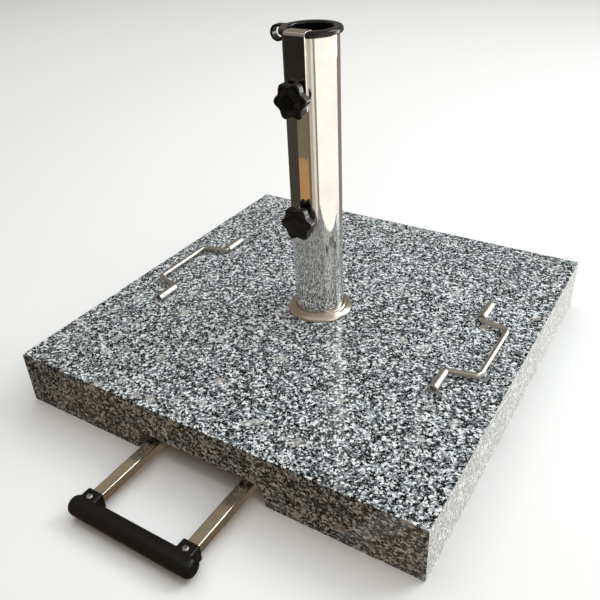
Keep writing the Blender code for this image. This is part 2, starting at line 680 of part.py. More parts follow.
def make_bracket(name, side, datum):
    """Folded wheel bracket in its well, with its screw and the riveted axle."""
    top = WELL_HEIGHT - GAP
    inner = BRACKET_INNER / 2
    outer = inner + BRACKET_WALL
    near, far = BRACKET_Y
    outline = [(-outer, BRACKET_FOOT), (-inner, BRACKET_FOOT), (-inner, top - BRACKET_WALL),
               (inner, top - BRACKET_WALL), (inner, BRACKET_FOOT), (outer, BRACKET_FOOT),
               (outer, top), (-outer, top)]
    x = side * WHEEL_X
    bracket = add_piece(f"{name}_wheel_bracket",
                        skin([[(u, y, z) for u, z in outline] for y in (near, far)]),
                        "zinc steel", (x, 0, 0), parent=datum)
    axle_place = (x, WHEEL_Y, WHEEL_Z)
    axle_hole = cylinder(AXLE_RADIUS + GAP, -0.03, 0.03, SMALL)
    combine(bracket, add_tool(f"{name}_axle_hole", axle_hole, axle_place, TOWARDS_RIGHT, datum))
    screw_hole = cylinder(0.0027, top - 0.01, top + 0.01, SMALL)
    screw_place = (x, BRACKET_SCREW_Y, 0)
    combine(bracket, add_tool(f"{name}_bracket_hole", screw_hole, screw_place, parent=datum))
    head = top - BRACKET_WALL - GAP
    screw = add_piece(f"{name}_bracket_screw", hexagon_head(0.008, head - 0.0030, head),
                      "zinc steel", screw_place, parent=datum)
    shank = cylinder(0.0024, head - 0.001, WELL_HEIGHT + 0.014, SMALL)
    combine(screw, add_tool(f"{name}_bracket_shank", shank, screw_place, parent=datum), "UNION")
    end = outer + GAP
    add_piece(f"{name}_axle", turned([
        (0.0050, -end - 0.0020), (0.0055, -end - 0.0012), (0.0055, -end), (AXLE_RADIUS, -end),
        (AXLE_RADIUS, end), (0.0055, end), (0.0055, end + 0.0012), (0.0050, end + 0.0020)],
        SMALL), "zinc steel", axle_place, TOWARDS_RIGHT, datum)


def make_wheel(name, side, datum):
    """One wheel: plastic hub and rubber tyre, turning on the axle."""
    axis = add_empty(f"{name}_wheel_axis", (side * WHEEL_X, WHEEL_Y, WHEEL_Z), datum)
    axis.rotation_euler = TOWARDS_RIGHT
    half = WHEEL_WIDTH / 2
    bore = AXLE_RADIUS + GAP
    hub = HUB_RADIUS - GAP
    add_piece(f"{name}_wheel_hub", turned([
        (bore, -half - 0.001), (0.0075, -half - 0.001), (0.0080, -half + 0.002), (hub, -half + 0.001),
        (hub, half - 0.001), (0.0080, half - 0.002), (0.0075, half + 0.001), (bore, half + 0.001)],
        MEDIUM, ring=True), "grey plastic", parent=axis)
    tyre = WHEEL_RADIUS
    add_piece(f"{name}_wheel_tyre", turned([
        (HUB_RADIUS, -half + 0.001), (tyre - 0.003, -half), (tyre - 0.0008, -half + 0.002),
        (tyre, -half + 0.006), (tyre, half - 0.006), (tyre - 0.0008, half - 0.002),
        (tyre - 0.003, half), (HUB_RADIUS, half - 0.001)], MEDIUM, ring=True),
        "rubber", parent=axis)


def build():
    """Build the whole parasol base."""
    clear_scene()
    datum = add_empty("DATUM", (0, 0, -SEAT_HEIGHT))
    make_slab(datum)
    make_tube(datum)
    make_reducer(datum)
    make_strip(datum)
    for name, height in KNOB_HEIGHTS.items():
        make_clamp_screw(name, height, datum)
    for name, side in (("left", -1), ("right", 1)):
        make_bail(f"{name}_bail", side, datum)
        make_sleeve(f"{name}_front", side, -1, datum)
        make_sleeve(f"{name}_rear", side, 1, datum)
    handle = add_empty("HANDLE", (0, 0, 0), datum)
    for name, side in (("left", -1), ("right", 1)):
        make_guide(name, side, datum)
        make_rail(name, side, datum, handle)
        make_bracket(name, side, datum)
        make_wheel(name, side, datum)
    make_grip(handle)
    for name, y in PLATE_Y.items():
        make_cross_plate(name, y, datum)


build()
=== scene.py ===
"""Looks of the parasol base: polished granite, stainless steel and moulded plastic.

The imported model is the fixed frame, in metres with +Z up. Its origin is the middle of
the pole seat in the stand tube's foot, the trolley handle pulls out towards -Y, and the
wheels are at +Y. Each class below builds the visible pieces of one sub-assembly where
the frame says, dresses them, and lets them ride on the frame's bodies.
"""

import logging
import math
from abc import ABC, abstractmethod
from dataclasses import dataclass, field
from enum import Enum
from typing import Iterable, Optional, Sequence

import bmesh
import bpy
from mathutils import Matrix, Vector


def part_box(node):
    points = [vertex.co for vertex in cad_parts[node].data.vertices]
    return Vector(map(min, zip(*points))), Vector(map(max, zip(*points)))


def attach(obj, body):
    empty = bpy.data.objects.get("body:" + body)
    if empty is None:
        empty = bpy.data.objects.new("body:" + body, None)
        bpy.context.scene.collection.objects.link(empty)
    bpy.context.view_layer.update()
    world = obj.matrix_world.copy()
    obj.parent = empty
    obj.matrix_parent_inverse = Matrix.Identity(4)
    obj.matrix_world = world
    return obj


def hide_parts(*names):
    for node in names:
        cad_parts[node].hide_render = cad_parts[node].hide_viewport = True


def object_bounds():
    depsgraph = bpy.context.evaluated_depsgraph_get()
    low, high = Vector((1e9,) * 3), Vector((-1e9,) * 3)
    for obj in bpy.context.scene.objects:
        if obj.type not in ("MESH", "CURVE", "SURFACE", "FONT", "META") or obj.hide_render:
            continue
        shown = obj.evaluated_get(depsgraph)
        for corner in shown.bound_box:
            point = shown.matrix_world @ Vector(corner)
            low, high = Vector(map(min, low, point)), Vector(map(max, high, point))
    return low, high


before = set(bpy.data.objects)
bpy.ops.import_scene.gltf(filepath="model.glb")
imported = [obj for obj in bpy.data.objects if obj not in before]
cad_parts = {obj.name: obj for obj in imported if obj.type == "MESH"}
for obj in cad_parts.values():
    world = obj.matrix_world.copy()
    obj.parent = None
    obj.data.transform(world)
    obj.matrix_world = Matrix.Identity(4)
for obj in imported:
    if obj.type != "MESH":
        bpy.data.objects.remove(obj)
CAD_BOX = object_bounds()
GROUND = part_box("granite_slab")[0].z
TUBE_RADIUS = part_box("stand_tube")[1].x
TUBE_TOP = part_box("stand_tube")[1].z
GAP = 0.0003            # clearance of a pressed, welded or sliding fit
BEYOND = 0.01           # how far a cutting tool stands out of the piece

Colour = tuple[float, float, float]
Corner = tuple[float, float, float]
Loop = list[Vector]
Mesh = bmesh.types.BMesh
Piece = bpy.types.Object
Socket = bpy.types.NodeSocket

log = logging.getLogger("parasol_base")


class Choice(Enum):
    """A choice that the names of the frame's nodes spell in small letters."""

    @property
    def word(self) -> str:
        """Return the choice's name as the frame's nodes spell it."""
        return self.name.lower()


class Side(Choice):
    """The two sides of the base, seen from the trolley handle, by their sign of X."""

    LEFT = -1
    RIGHT = 1


class End(Choice):
    """The two ends of the base, by their sign of Y."""

    FRONT = -1
    REAR = 1


class Level(Choice):
    """The two clamp screws of the stand tube, from the top."""

    UPPER = 1
    LOWER = 2


class Slot(Enum):
    """The record's material slots."""

    GRANITE = "granite"
    POLISHED = "polished_steel"
    SATIN = "satin_steel"
    ZINC = "zinc_steel"
    BLACK = "black_plastic"
    GREY = "grey_plastic"
    RUBBER = "rubber"


# Outlines and meshes ----------------------------------------------------------


def rounded(corners: Sequence[Corner], steps: int = 6, closed: bool = False) -> list[Vector]:
    """Round the corners of a flat outline.

    Args:
        corners: Each corner's two coordinates and its radius.
        steps: Number of segments in each rounded corner.
        closed: Whether the last corner joins the first.

    Returns:
        The outline's points.
    """
    points: list[Vector] = []
    count = len(corners)
    for k, (u, v, radius) in enumerate(corners):
        here = Vector((u, v))
        if radius <= 0.0 or (not closed and k in (0, count - 1)):
            points.append(here)
            continue
        back = Vector(corners[k - 1][:2]) - here
        on = Vector(corners[(k + 1) % count][:2]) - here
        half = back.angle(on) / 2
        cut = min(radius / math.tan(half), back.length * 0.49, on.length * 0.49)
        true_radius = cut * math.tan(half)
        centre = here + (back.normalized() + on.normalized()).normalized() * (
            true_radius / math.sin(half))
        first = here + back.normalized() * cut - centre
        last = here + on.normalized() * cut - centre
        turn = math.atan2(first.x * last.y - first.y * last.x, first.dot(last))
        for step in range(steps + 1):
            points.append(centre + Matrix.Rotation(turn * step / steps, 2) @ first)
    return points


def circle_points(radius: float, steps: int) -> list[Vector]:
    """Return the points of a flat circle."""
    return [Vector((radius * math.cos(math.tau * k / steps),
                    radius * math.sin(math.tau * k / steps))) for k in range(steps)]


def rectangle_points(width: float, height: float, radius: float, steps: int = 5) -> list[Vector]:
    """Return the points of a flat rectangle with rounded corners."""
    u, v = width / 2, height / 2
    return rounded([(u, v, radius), (-u, v, radius), (-u, -v, radius), (u, -v, radius)],
                   steps, closed=True)


def mirrored(corners: Sequence[Corner]) -> list[Corner]:
    """Return an outline's corners mirrored in their second coordinate, last one first."""
    return [(u, -v, radius) for u, v, radius in reversed(corners)]


def arc_points(centre: tuple[float, float], radius: float, start: float, end: float,
               steps: int) -> list[Vector]:
    """Return the points of a flat arc.

    Args:
        centre: The arc's centre.
        radius: The arc's radius.
        start: The first point's angle in degrees.
        end: The last point's angle in degrees.
        steps: Number of segments.

    Returns:
        The arc's points, both ends included.
    """
    points = []
    for k in range(steps + 1):
        angle = math.radians(start + (end - start) * k / steps)
        points.append(Vector((
            centre[0] + radius * math.cos(angle), centre[1] + radius * math.sin(angle))))
    return points


def skin(loops: Sequence[Loop], closed: bool = False) -> Mesh:
    """Cover a row of loops with faces and close its ends.

    Args:
        loops: Rows of points of the same length; a row of one point is a tip.
        closed: Whether the last row joins the first.

    Returns:
        The new mesh.
    """
    mesh = bmesh.new()
    rows = [[mesh.verts.new(point) for point in loop] for loop in loops]
    pairs = list(zip(rows, rows[1:]))
    if closed:
        pairs.append((rows[-1], rows[0]))
    else:
        for end in (rows[0], rows[-1]):
            if len(end) > 2:
                mesh.faces.new(end)
    for first, second in pairs:
        count = max(len(first), len(second))
        for k in range(count):
            after = (k + 1) % count
            if len(first) == 1:
                mesh.faces.new((first[0], second[after], second[k]))
            elif len(second) == 1:
                mesh.faces.new((first[k], first[after], second[0]))
            else:
                mesh.faces.new((first[k], first[after], second[after], second[k]))
    bmesh.ops.recalc_face_normals(mesh, faces=mesh.faces)
    return mesh


def turned(profile: Iterable[Sequence[float]], steps: int, ring: bool = False) -> Mesh:
    """Turn a profile of (radius, height) points round the Z axis.

    Args:
        profile: The profile's points; a radius of zero is a tip.
        steps: Number of segments round the axis.
        ring: Whether the profile closes on itself.

    Returns:
        The new mesh.
    """
    loops = [[Vector((p.x, p.y, height)) for p in circle_points(radius, steps if radius else 1)]
             for radius, height in profile]
    return skin(loops, closed=ring)


def turned_ring(outline: Sequence[Corner], rounds: int, steps: int) -> Mesh:
    """Turn a closed outline, its corners rounded, round the Z axis."""
    return turned(rounded(outline, rounds, closed=True), steps, ring=True)


def swept(path: Sequence[Vector], section: Sequence[Vector], side: Vector,
          chamfer: float = 0.0) -> Mesh:
    """Sweep a flat section along a path that lies in one plane.

    Args:
        path: The path's points.
        section: The section's points: along the plane's normal, then across the path.
        side: The normal of the path's plane.
        chamfer: How far the two ends are drawn in.

    Returns:
        The new mesh.
    """
    last = len(path) - 1
    stations = [(point, (path[min(k + 1, last)] - path[max(k - 1, 0)]).normalized(), 1.0)
                for k, point in enumerate(path)]
    if chamfer:
        (head, on, _), (tail, off, _) = stations[0], stations[-1]
        drawn_in = 1 - chamfer / max(p.length for p in section)
        stations = [(head, on, drawn_in), (head + on * chamfer, on, 1.0), *stations[1:-1],
                    (tail - off * chamfer, off, 1.0), (tail, off, drawn_in)]
    return skin([[point + (side * p.x + along.cross(side) * p.y) * scale for p in section]
                 for point, along, scale in stations])


def block(low: Sequence[float], high: Sequence[float], radius: float = 1e-5, steps: int = 1) -> Mesh:
    """Build a block with rounded upright edges.

    Args:
        low: The block's lowest corner.
        high: Its highest corner.
        radius: The radius of the upright edges.
        steps: Number of segments in each rounded edge.

    Returns:
        The new mesh.
    """
    middle = (Vector(low) + Vector(high)) / 2
    size = Vector(high) - Vector(low)
    outline = rectangle_points(size.x, size.y, radius, steps)
    return skin([[Vector((middle.x + p.x, middle.y + p.y, z)) for p in outline]
                 for z in (low[2], high[2])])


def moved(mesh: Mesh, matrix: Matrix) -> Mesh:
    """Move a mesh by a matrix and return it."""
    bmesh.ops.transform(mesh, matrix=matrix, verts=mesh.verts)
    return mesh


def rod(radius: float, low: float, high: float, place: Matrix, steps: int = 32) -> Mesh:
    """Build a plain cylinder, such as the tool of a hole.

    Args:
        radius: The cylinder's radius.
        low: Where it begins along its own Z axis.
        high: Where it ends.
        place: The matrix that moves it into the frame.
        steps: Number of segments round the axis.

    Returns:
        The new mesh.
    """
    return moved(turned([(radius, low), (radius, high)], steps), place)


def joined(meshes: Sequence[Mesh]) -> Mesh:
    """Return one mesh that holds all the given ones."""
    whole = bmesh.new()
    for mesh in meshes:
        part = bpy.data.meshes.new("part")
        mesh.to_mesh(part)
        mesh.free()
        whole.from_mesh(part)
        bpy.data.meshes.remove(part)
    return whole


TOWARDS_FRONT = Matrix.Rotation(math.radians(90), 4, "X")     # local +Z turned to -Y
TOWARDS_RIGHT = Matrix.Rotation(math.radians(90), 4, "Y")     # local +Z turned to +X


def at(x: float, y: float, z: float) -> Matrix:
    """Return the matrix of a move."""
    return Matrix.Translation((x, y, z))


def middle_of(node: str) -> Vector:
    """Return the middle of the box of one of the frame's nodes."""
    return sum(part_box(node), Vector()) / 2


def screw_axis(level: Level) -> Matrix:
    """Return the matrix that lays the Z axis along a clamp screw, towards the front."""
    return at(0, 0, middle_of(f"{level.word}_knob").z) @ TOWARDS_FRONT


def new_object(name: str, mesh: Mesh) -> Piece:
    """Turn a mesh under construction into an object of the scene.

    Args:
        name: The object's name.
        mesh: Its mesh, which is freed.

    Returns:
        The new object.
    """
    data = bpy.data.meshes.new(name)
    mesh.to_mesh(data)
    mesh.free()
    piece = bpy.data.objects.new(name, data)
    bpy.context.scene.collection.objects.link(piece)
    return piece


def settle(piece: Piece) -> None:
    """Apply all modifiers of a piece to its mesh.

    Args:
        piece: The piece.
    """
    bpy.context.view_layer.update()
    graph = bpy.context.evaluated_depsgraph_get()
    done = bpy.data.meshes.new_from_object(piece.evaluated_get(graph))
    piece.modifiers.clear()
    old = piece.data
    piece.data = done
    bpy.data.meshes.remove(old)


def cut(piece: Piece, tools: Iterable[Mesh], operation: str = "DIFFERENCE") -> None:
    """Cut tools from a piece, or join them with it.

    Args:
        piece: The piece to change.
        tools: The tools' meshes, in the row frame.
        operation: The Boolean operation.
    """
    spare = []
    for k, mesh in enumerate(tools):
        tool = new_object(f"{piece.name}_tool_{k}", mesh)
        modifier = piece.modifiers.new(tool.name, "BOOLEAN")
        modifier.operation = operation
        modifier.object = tool
        modifier.solver = "EXACT"
        spare.append(tool)
    settle(piece)
    for tool in spare:
        bpy.data.objects.remove(tool, do_unlink=True)


def shade(piece: Piece, angle: float = 32.0) -> None:
    """Shade a piece smooth, its large faces true and edges above an angle sharp.

    Args:
        piece: The piece.
        angle: Edges above this angle, in degrees, stay sharp.
    """
    piece.data.shade_smooth()
    piece.data.set_sharp_from_angle(angle=math.radians(angle))
    even = piece.modifiers.new("even_normals", "WEIGHTED_NORMAL")
    even.keep_sharp = True
    settle(piece)


# Finishes ---------------------------------------------------------------------


class Wiring:
    """Short calls for the shader nodes of one material."""

    def __init__(self, name: str) -> None:
        """Start a material of a name with its Principled shader."""
        self.material = bpy.data.materials.new(name)
        self.material.use_nodes = True
        self.tree = self.material.node_tree
        self.shader = self.tree.nodes["Principled BSDF"]
        self.place = self.node("ShaderNodeTexCoord").outputs["Object"]

    def node(self, kind: str, **inputs: object) -> bpy.types.Node:
        """Add a node, with values or links for its named inputs.

        Args:
            kind: The node's type.
            **inputs: Values or output sockets by input name, spaces as underscores.

        Returns:
            The new node.
        """
        node = self.tree.nodes.new(kind)
        for name, value in inputs.items():
            self.feed(node.inputs[name.replace("_", " ")], value)
        return node

    def feed(self, socket: Socket, value: object) -> None:
        """Link a socket to an output, or set its own value."""
        if isinstance(value, Socket):
            self.tree.links.new(value, socket)
        else:
            socket.default_value = value

    def set(self, **inputs: object) -> None:
        """Set or link the Principled shader's inputs by name."""
        for name, value in inputs.items():
            self.feed(self.shader.inputs[name.replace("_", " ")], value)

    def stretched(self, scale: Sequence[float]) -> Socket:
        """Return the object's coordinates, stretched along its axes."""
        return self.node("ShaderNodeMapping", Vector=self.place, Scale=scale).outputs["Vector"]

    def noise(self, scale: float, detail: float = 2.0, roughness: float = 0.5,
              place: Optional[Socket] = None) -> bpy.types.Node:
        """Return a noise texture over the object's coordinates."""
        return self.node("ShaderNodeTexNoise", Vector=place or self.place, Scale=scale,
                         Detail=detail, Roughness=roughness)

    def crystals(self, scale: float, place: Socket) -> Socket:
        """Return one random value for each cell of a crystal pattern."""
        cells = self.node("ShaderNodeTexVoronoi", Vector=place, Scale=scale)
        return self.node("ShaderNodeSeparateColor", Color=cells.outputs["Color"]).outputs["Red"]

    def ramp(self, value: Socket, stops: Sequence[tuple[float, Colour]],
             stepped: bool = False) -> Socket:
        """Return a value turned into colours.

        Args:
            value: The value from 0 to 1.
            stops: Positions and colours.
            stepped: Whether each colour holds until the next stop.

        Returns:
            The colour socket.
        """
        node = self.node("ShaderNodeValToRGB", Fac=value)
        band = node.color_ramp
        if stepped:
            band.interpolation = "CONSTANT"
        while len(band.elements) < len(stops):
            band.elements.new(0.5)
        for element, (position, colour) in zip(band.elements, stops):
            element.position = position
            element.color = (*colour, 1.0)
        return node.outputs["Color"]

    def span(self, value: Socket, low: float, high: float, start: float = 0.0,
             end: float = 1.0) -> Socket:
        """Return a value between start and end mapped to low and high."""
        return self.node("ShaderNodeMapRange", Value=value, From_Min=start, From_Max=end,
                         To_Min=low, To_Max=high).outputs["Result"]

    def plus(self, first: Socket, second: Socket) -> Socket:
        """Return the sum of two values."""
        node = self.node("ShaderNodeMath")
        self.feed(node.inputs[0], first)
        self.feed(node.inputs[1], second)
        return node.outputs[0]

    def mix(self, factor: object, first: object, second: object, blend: str = "MIX") -> Socket:
        """Mix two colours.

        Args:
            factor: How much of the second colour shows, a number or a socket.
            first: The first colour or its socket.
            second: The second colour or its socket.
            blend: The way in which they mix.

        Returns:
            The mixed colour's socket.
        """
        node = self.tree.nodes.new("ShaderNodeMix")
        node.data_type = "RGBA"
        node.blend_type = blend
        for socket, value in (
                (node.inputs[0], factor), (node.inputs[6], first), (node.inputs[7], second)):
            self.feed(socket, (*value, 1.0) if isinstance(value, tuple) and len(value) == 3 else value)
        return node.outputs[2]

    def bump(self, height: Socket, strength: float, distance: float) -> Socket:
        """Return a normal bent by a height, a full step of it so many metres deep."""
        return self.node(
            "ShaderNodeBump", Height=height, Strength=strength, Distance=distance).outputs["Normal"]


@dataclass(frozen=True)
class Finish(ABC):
    """A finish that can make its Blender material."""

    name: str
    slot: Slot

    @abstractmethod
    def wire(self, wiring: Wiring) -> None:
        """Add the finish's nodes to a new material."""

    def material(self) -> bpy.types.Material:
        """Return the finish's material, made on first use."""
        known = bpy.data.materials.get(self.name)
        if known:
            return known
        wiring = Wiring(self.name)
        self.wire(wiring)
        return wiring.material


@dataclass(frozen=True)
class Granite(Finish):
    """Salt and pepper granite: feldspar, quartz and black mica grains, polished."""

    grain: float = 0.0025
    roughness: float = 0.09
    mica: Colour = (0.003, 0.003, 0.0035)
    shadow: Colour = (0.032, 0.034, 0.038)
    quartz: Colour = (0.112, 0.136, 0.160)
    feldspar: Colour = (0.41, 0.46, 0.50)
    milk: Colour = (0.89, 0.93, 0.95)
    crystal: Colour = (0.62, 0.58, 0.53)

    def wire(self, wiring: Wiring) -> None:
        """Add the finish's nodes to a new material."""
        w = wiring
        wobble = w.noise(1.6 / self.grain, 3.0, 0.6).outputs["Color"]
        shift = w.node("ShaderNodeVectorMath", Vector=wobble)
        shift.operation = "MULTIPLY_ADD"
        shift.inputs[1].default_value = (self.grain * 0.9,) * 3
        w.feed(shift.inputs[2], w.place)
        bent = shift.outputs[0]
        grains = w.crystals(1.0 / self.grain, bent)
        flecks = w.crystals(2.3 / self.grain, bent)
        crowd = w.span(w.noise(0.30 / self.grain, 2.0).outputs["Fac"], -0.10, 0.10, 0.3, 0.7)
        body = w.ramp(
            w.plus(grains, crowd), [(0.0, self.mica), (0.40, self.shadow), (0.47, self.quartz),
             (0.64, self.feldspar), (0.78, self.milk)], stepped=True)
        fine = w.ramp(
            w.plus(flecks, crowd), [(0.0, self.mica), (0.46, self.quartz), (0.55, self.feldspar),
             (0.72, self.milk)], stepped=True)
        patch = w.span(w.noise(0.9 / self.grain, 2.0).outputs["Fac"], 0.0, 0.9, 0.50, 0.60)
        colour = w.mix(patch, body, fine)
        cloud = w.span(w.noise(22.0, 3.0, 0.6).outputs["Fac"], 0.90, 1.08, 0.3, 0.7)
        veil = w.ramp(cloud, [(0.0, (0.0, 0.0, 0.0)), (1.0, (1.0, 1.0, 1.0))])
        colour = w.mix(1.0, colour, veil, "MULTIPLY")
        large = w.crystals(0.27 / self.grain, bent)
        colour = w.mix(w.span(large, 0.0, 0.45, 0.975, 0.98), colour, self.crystal)
        pits = w.node("ShaderNodeTexVoronoi", Vector=bent, Scale=1.0 / self.grain)
        pits.feature = "DISTANCE_TO_EDGE"
        seam = w.span(pits.outputs["Distance"], 0.0, 1.0, 0.0, 0.06)
        w.set(Base_Color=colour, Roughness=w.span(grains, self.roughness * 0.7,
                                                  self.roughness * 1.9),
              IOR=1.52, Normal=w.bump(seam, 0.10, 0.0001))


@dataclass(frozen=True)
class Steel(Finish):
    """Steel with fine grinding lines along one axis and faint smudges."""

    colour: Colour = (0.78, 0.76, 0.72)
    roughness: float = 0.10
    lines: tuple[float, float, float] = (2600.0, 2600.0, 18.0)
    depth: float = 0.04
    smudge: float = 0.05
    mottle: float = 0.0

    def wire(self, wiring: Wiring) -> None:
        """Add the finish's nodes to a new material."""
        w = wiring
        ground = w.noise(1.0, 3.0, 0.6, w.stretched(self.lines)).outputs["Fac"]
        smears = w.noise(38.0, 4.0, 0.6).outputs["Fac"]
        pale = tuple(min(1.0, c * 1.06) for c in self.colour)
        dull = tuple(c * (0.90 - self.mottle) for c in self.colour)
        tint = w.mix(w.span(smears, 0.0, 1.0, 0.35, 0.65), pale, dull)
        base = w.span(smears, self.roughness, self.roughness + self.smudge, 0.3, 0.7)
        rough = w.plus(base, w.span(ground, -0.02, 0.03))
        w.set(Base_Color=tint, Metallic=1.0, Roughness=rough, Normal=w.bump(ground, self.depth, 0.0001))


@dataclass(frozen=True)
class Plastic(Finish):
    """Moulded plastic with a fine grain and slightly rubbed places."""

    colour: Colour = (0.003, 0.003, 0.0034)
    roughness: float = 0.20
    grain: float = 2400.0
    depth: float = 0.12
    rubbed: Colour = (0.007, 0.007, 0.0075)

    def wire(self, wiring: Wiring) -> None:
        """Add the finish's nodes to a new material."""
        w = wiring
        grain = w.noise(self.grain, 2.0, 0.6).outputs["Fac"]
        handling = w.noise(70.0, 4.0, 0.65).outputs["Fac"]
        tint = w.mix(w.span(handling, 0.0, 0.55, 0.50, 0.80), self.colour, self.rubbed)
        rough = w.plus(w.span(handling, self.roughness + 0.06, self.roughness - 0.05),
                        w.span(grain, -0.03, 0.03))
        w.set(Base_Color=tint, Roughness=rough, IOR=1.45, Normal=w.bump(grain, self.depth, 0.00006))


@dataclass(frozen=True)
class Rubber(Finish):
    """Black tyre rubber, dusty in patches."""

    colour: Colour = (0.018, 0.018, 0.019)
    dust: Colour = (0.10, 0.095, 0.085)

    def wire(self, wiring: Wiring) -> None:
        """Add the finish's nodes to a new material."""
        w = wiring
        dirt = w.noise(240.0, 5.0, 0.7).outputs["Fac"]
        tint = w.mix(w.span(dirt, 0.0, 0.6, 0.48, 0.75), self.colour, self.dust)
        w.set(Base_Color=tint, Roughness=w.span(dirt, 0.62, 0.85),
              Normal=w.bump(w.noise(1500.0, 2.0).outputs["Fac"], 0.2, 0.00008))


GRANITE = Granite("polished_granite", Slot.GRANITE)
TUBE_STEEL = Steel("polished_tube_steel", Slot.POLISHED, roughness=0.035, smudge=0.02, mottle=-0.06)
FLANGE_STEEL = Steel(
    "turned_flange_steel", Slot.POLISHED, colour=(0.60, 0.55, 0.47),
    roughness=0.30, smudge=0.0, mottle=-0.06)
RAIL_STEEL = Steel("polished_rail_steel", Slot.POLISHED, colour=(0.86, 0.80, 0.68),
                   roughness=0.14, lines=(2600.0, 18.0, 2600.0), depth=0.06)
ROD_STEEL = Steel("satin_rod_steel", Slot.SATIN, colour=(0.60, 0.58, 0.53), roughness=0.30,
                  lines=(900.0, 60.0, 900.0), depth=0.08)
STRIP_STEEL = Steel(
    "satin_strip_steel", Slot.SATIN, colour=(0.72, 0.70, 0.66), roughness=0.13, depth=0.05)
ZINC = Steel("zinc_plate", Slot.ZINC, colour=(0.62, 0.63, 0.65), roughness=0.32,
             lines=(600.0, 600.0, 600.0), depth=0.10, smudge=0.12, mottle=0.12)
BLACK = Plastic("black_moulded_plastic", Slot.BLACK)
GRIP_BLACK = Plastic("black_grip_plastic", Slot.BLACK, roughness=0.36, depth=0.16)
GREY = Plastic("grey_moulded_plastic", Slot.GREY, colour=(0.09, 0.09, 0.10),
               roughness=0.48, rubbed=(0.16, 0.16, 0.17))
TYRE = Rubber("tyre_rubber", Slot.RUBBER)


# Sub-assemblies ---------------------------------------------------------------


@dataclass
class SubAssembly(ABC):
    """Pieces that belong together; each class builds and dresses its own."""

    pieces: list[str] = field(default_factory=list, init=False)

    @abstractmethod
    def build(self) -> None:
        """Build and dress every piece of the sub-assembly."""

    def dress(self, piece: Piece, body: str, finish: Finish, *nodes: str, angle: float = 32.0) -> Piece:
        """Give a piece its finish and its place in the frame.

        Args:
            piece: The new piece.
            body: The frame's body that it rides on.
            finish: The piece's finish.
            *nodes: The frame's nodes that it stands for.
            angle: Edges above this angle, in degrees, stay sharp.

        Returns:
            The same piece.
        """
        shade(piece, angle)
        piece.data.materials.clear()
        piece.data.materials.append(finish.material())
        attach(piece, body)
        if nodes:
            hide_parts(*nodes)
        self.pieces.append(piece.name)
        return piece

    def carry(self, finish: Finish, *nodes: str) -> None:
        """Give nodes of the frame a better finish and keep their shapes."""
        for name in nodes:
            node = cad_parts[name]
            for slot in node.material_slots:
                slot.material = finish.material()
            self.pieces.append(name)

    def report(self) -> None:
        """Log each piece of the sub-assembly."""
        for name in self.pieces:
            log.info("%s: %s", type(self).__name__, name)


@dataclass
class Stone(SubAssembly):
    """The granite slab with its channel, wheel wells and bolt holes."""

    arris: float = 0.0020
    roof: float = 0.026
    roof_half: float = 0.079
    roof_round: float = 0.002
    foot_half: float = 0.083
    lip: float = 0.004
    well: tuple[float, float] = (0.070, 0.128)
    well_front: float = 0.208
    well_height: float = 0.046
    well_round: float = 0.003
    washer_sink: tuple[float, float] = (0.010, 0.014)
    stud_hole: float = 0.0035
    bolt_hole: float = 0.007
    past_end: float = 0.30
    past_top: float = 0.10

    def channel(self) -> Mesh:
        """Return the cutter of the channel in the underside."""
        foot, bend = self.foot_half + self.lip, self.roof_round
        right = [Vector((foot, GROUND - BEYOND)), Vector((foot, GROUND))]
        right += arc_points((foot, GROUND + self.lip), self.lip, 270, 190, 8)[1:]
        right += arc_points((self.roof_half - bend, GROUND + self.roof - bend), bend, 0, 90, 5)
        outline = right + [Vector((-p.x, p.y)) for p in reversed(right)]
        return skin([[Vector((p.x, y, p.y)) for p in outline] for y in (-self.past_end, self.past_end)])

    def tools(self) -> list[Mesh]:
        """Return the cutters of all recesses and holes."""
        tools = [self.channel()]
        for side in Side:
            low, high = sorted(side.value * x for x in self.well)
            tools.append(block((low, self.well_front, GROUND - BEYOND),
                               (high, self.past_end, GROUND + self.well_height), self.well_round, 5))
            for end in End:
                middle = middle_of(f"{side.word}_{end.word}_washer")
                place = at(middle.x, middle.y, GROUND)
                radius, depth = self.washer_sink
                tools.append(rod(radius, -BEYOND, depth, place, 48))
                tools.append(rod(self.stud_hole, 0.0, self.past_top, place))
        tools.append(rod(self.bolt_hole, 0.0, self.past_top, at(0, 0, GROUND)))
        return tools

    def weigh_edges(self, piece: Piece) -> None:
        """Mark the outer and the long edges, which carry the arris.

        Args:
            piece: The slab.
        """
        mesh = bmesh.new()
        mesh.from_mesh(piece.data)
        bmesh.ops.remove_doubles(mesh, verts=mesh.verts, dist=1e-5)
        weight = mesh.edges.layers.float.new("bevel_weight_edge")
        outer = CAD_BOX[1].x - 1e-4
        for edge in mesh.edges:
            if len(edge.link_faces) != 2 or edge.calc_face_angle(0.0) < math.radians(30):
                continue
            ends = [v.co for v in edge.verts]
            at_side = all(abs(p.x) > outer for p in ends)
            at_end = all(abs(p.y) > outer for p in ends)
            if at_side or at_end or edge.calc_length() > 0.02:
                edge[weight] = 1.0
        mesh.to_mesh(piece.data)
        mesh.free()

    def build(self) -> None:
        """Build and dress the slab."""
        low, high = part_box("granite_slab")
        slab = new_object("stone_slab", block(low, high))
        cut(slab, self.tools())
        self.weigh_edges(slab)
        bevel = slab.modifiers.new("arris", "BEVEL")
        bevel.limit_method = "WEIGHT"
        bevel.width = self.arris
        bevel.segments = 3
        settle(slab)
        self.dress(slab, "base", GRANITE, "granite_slab")


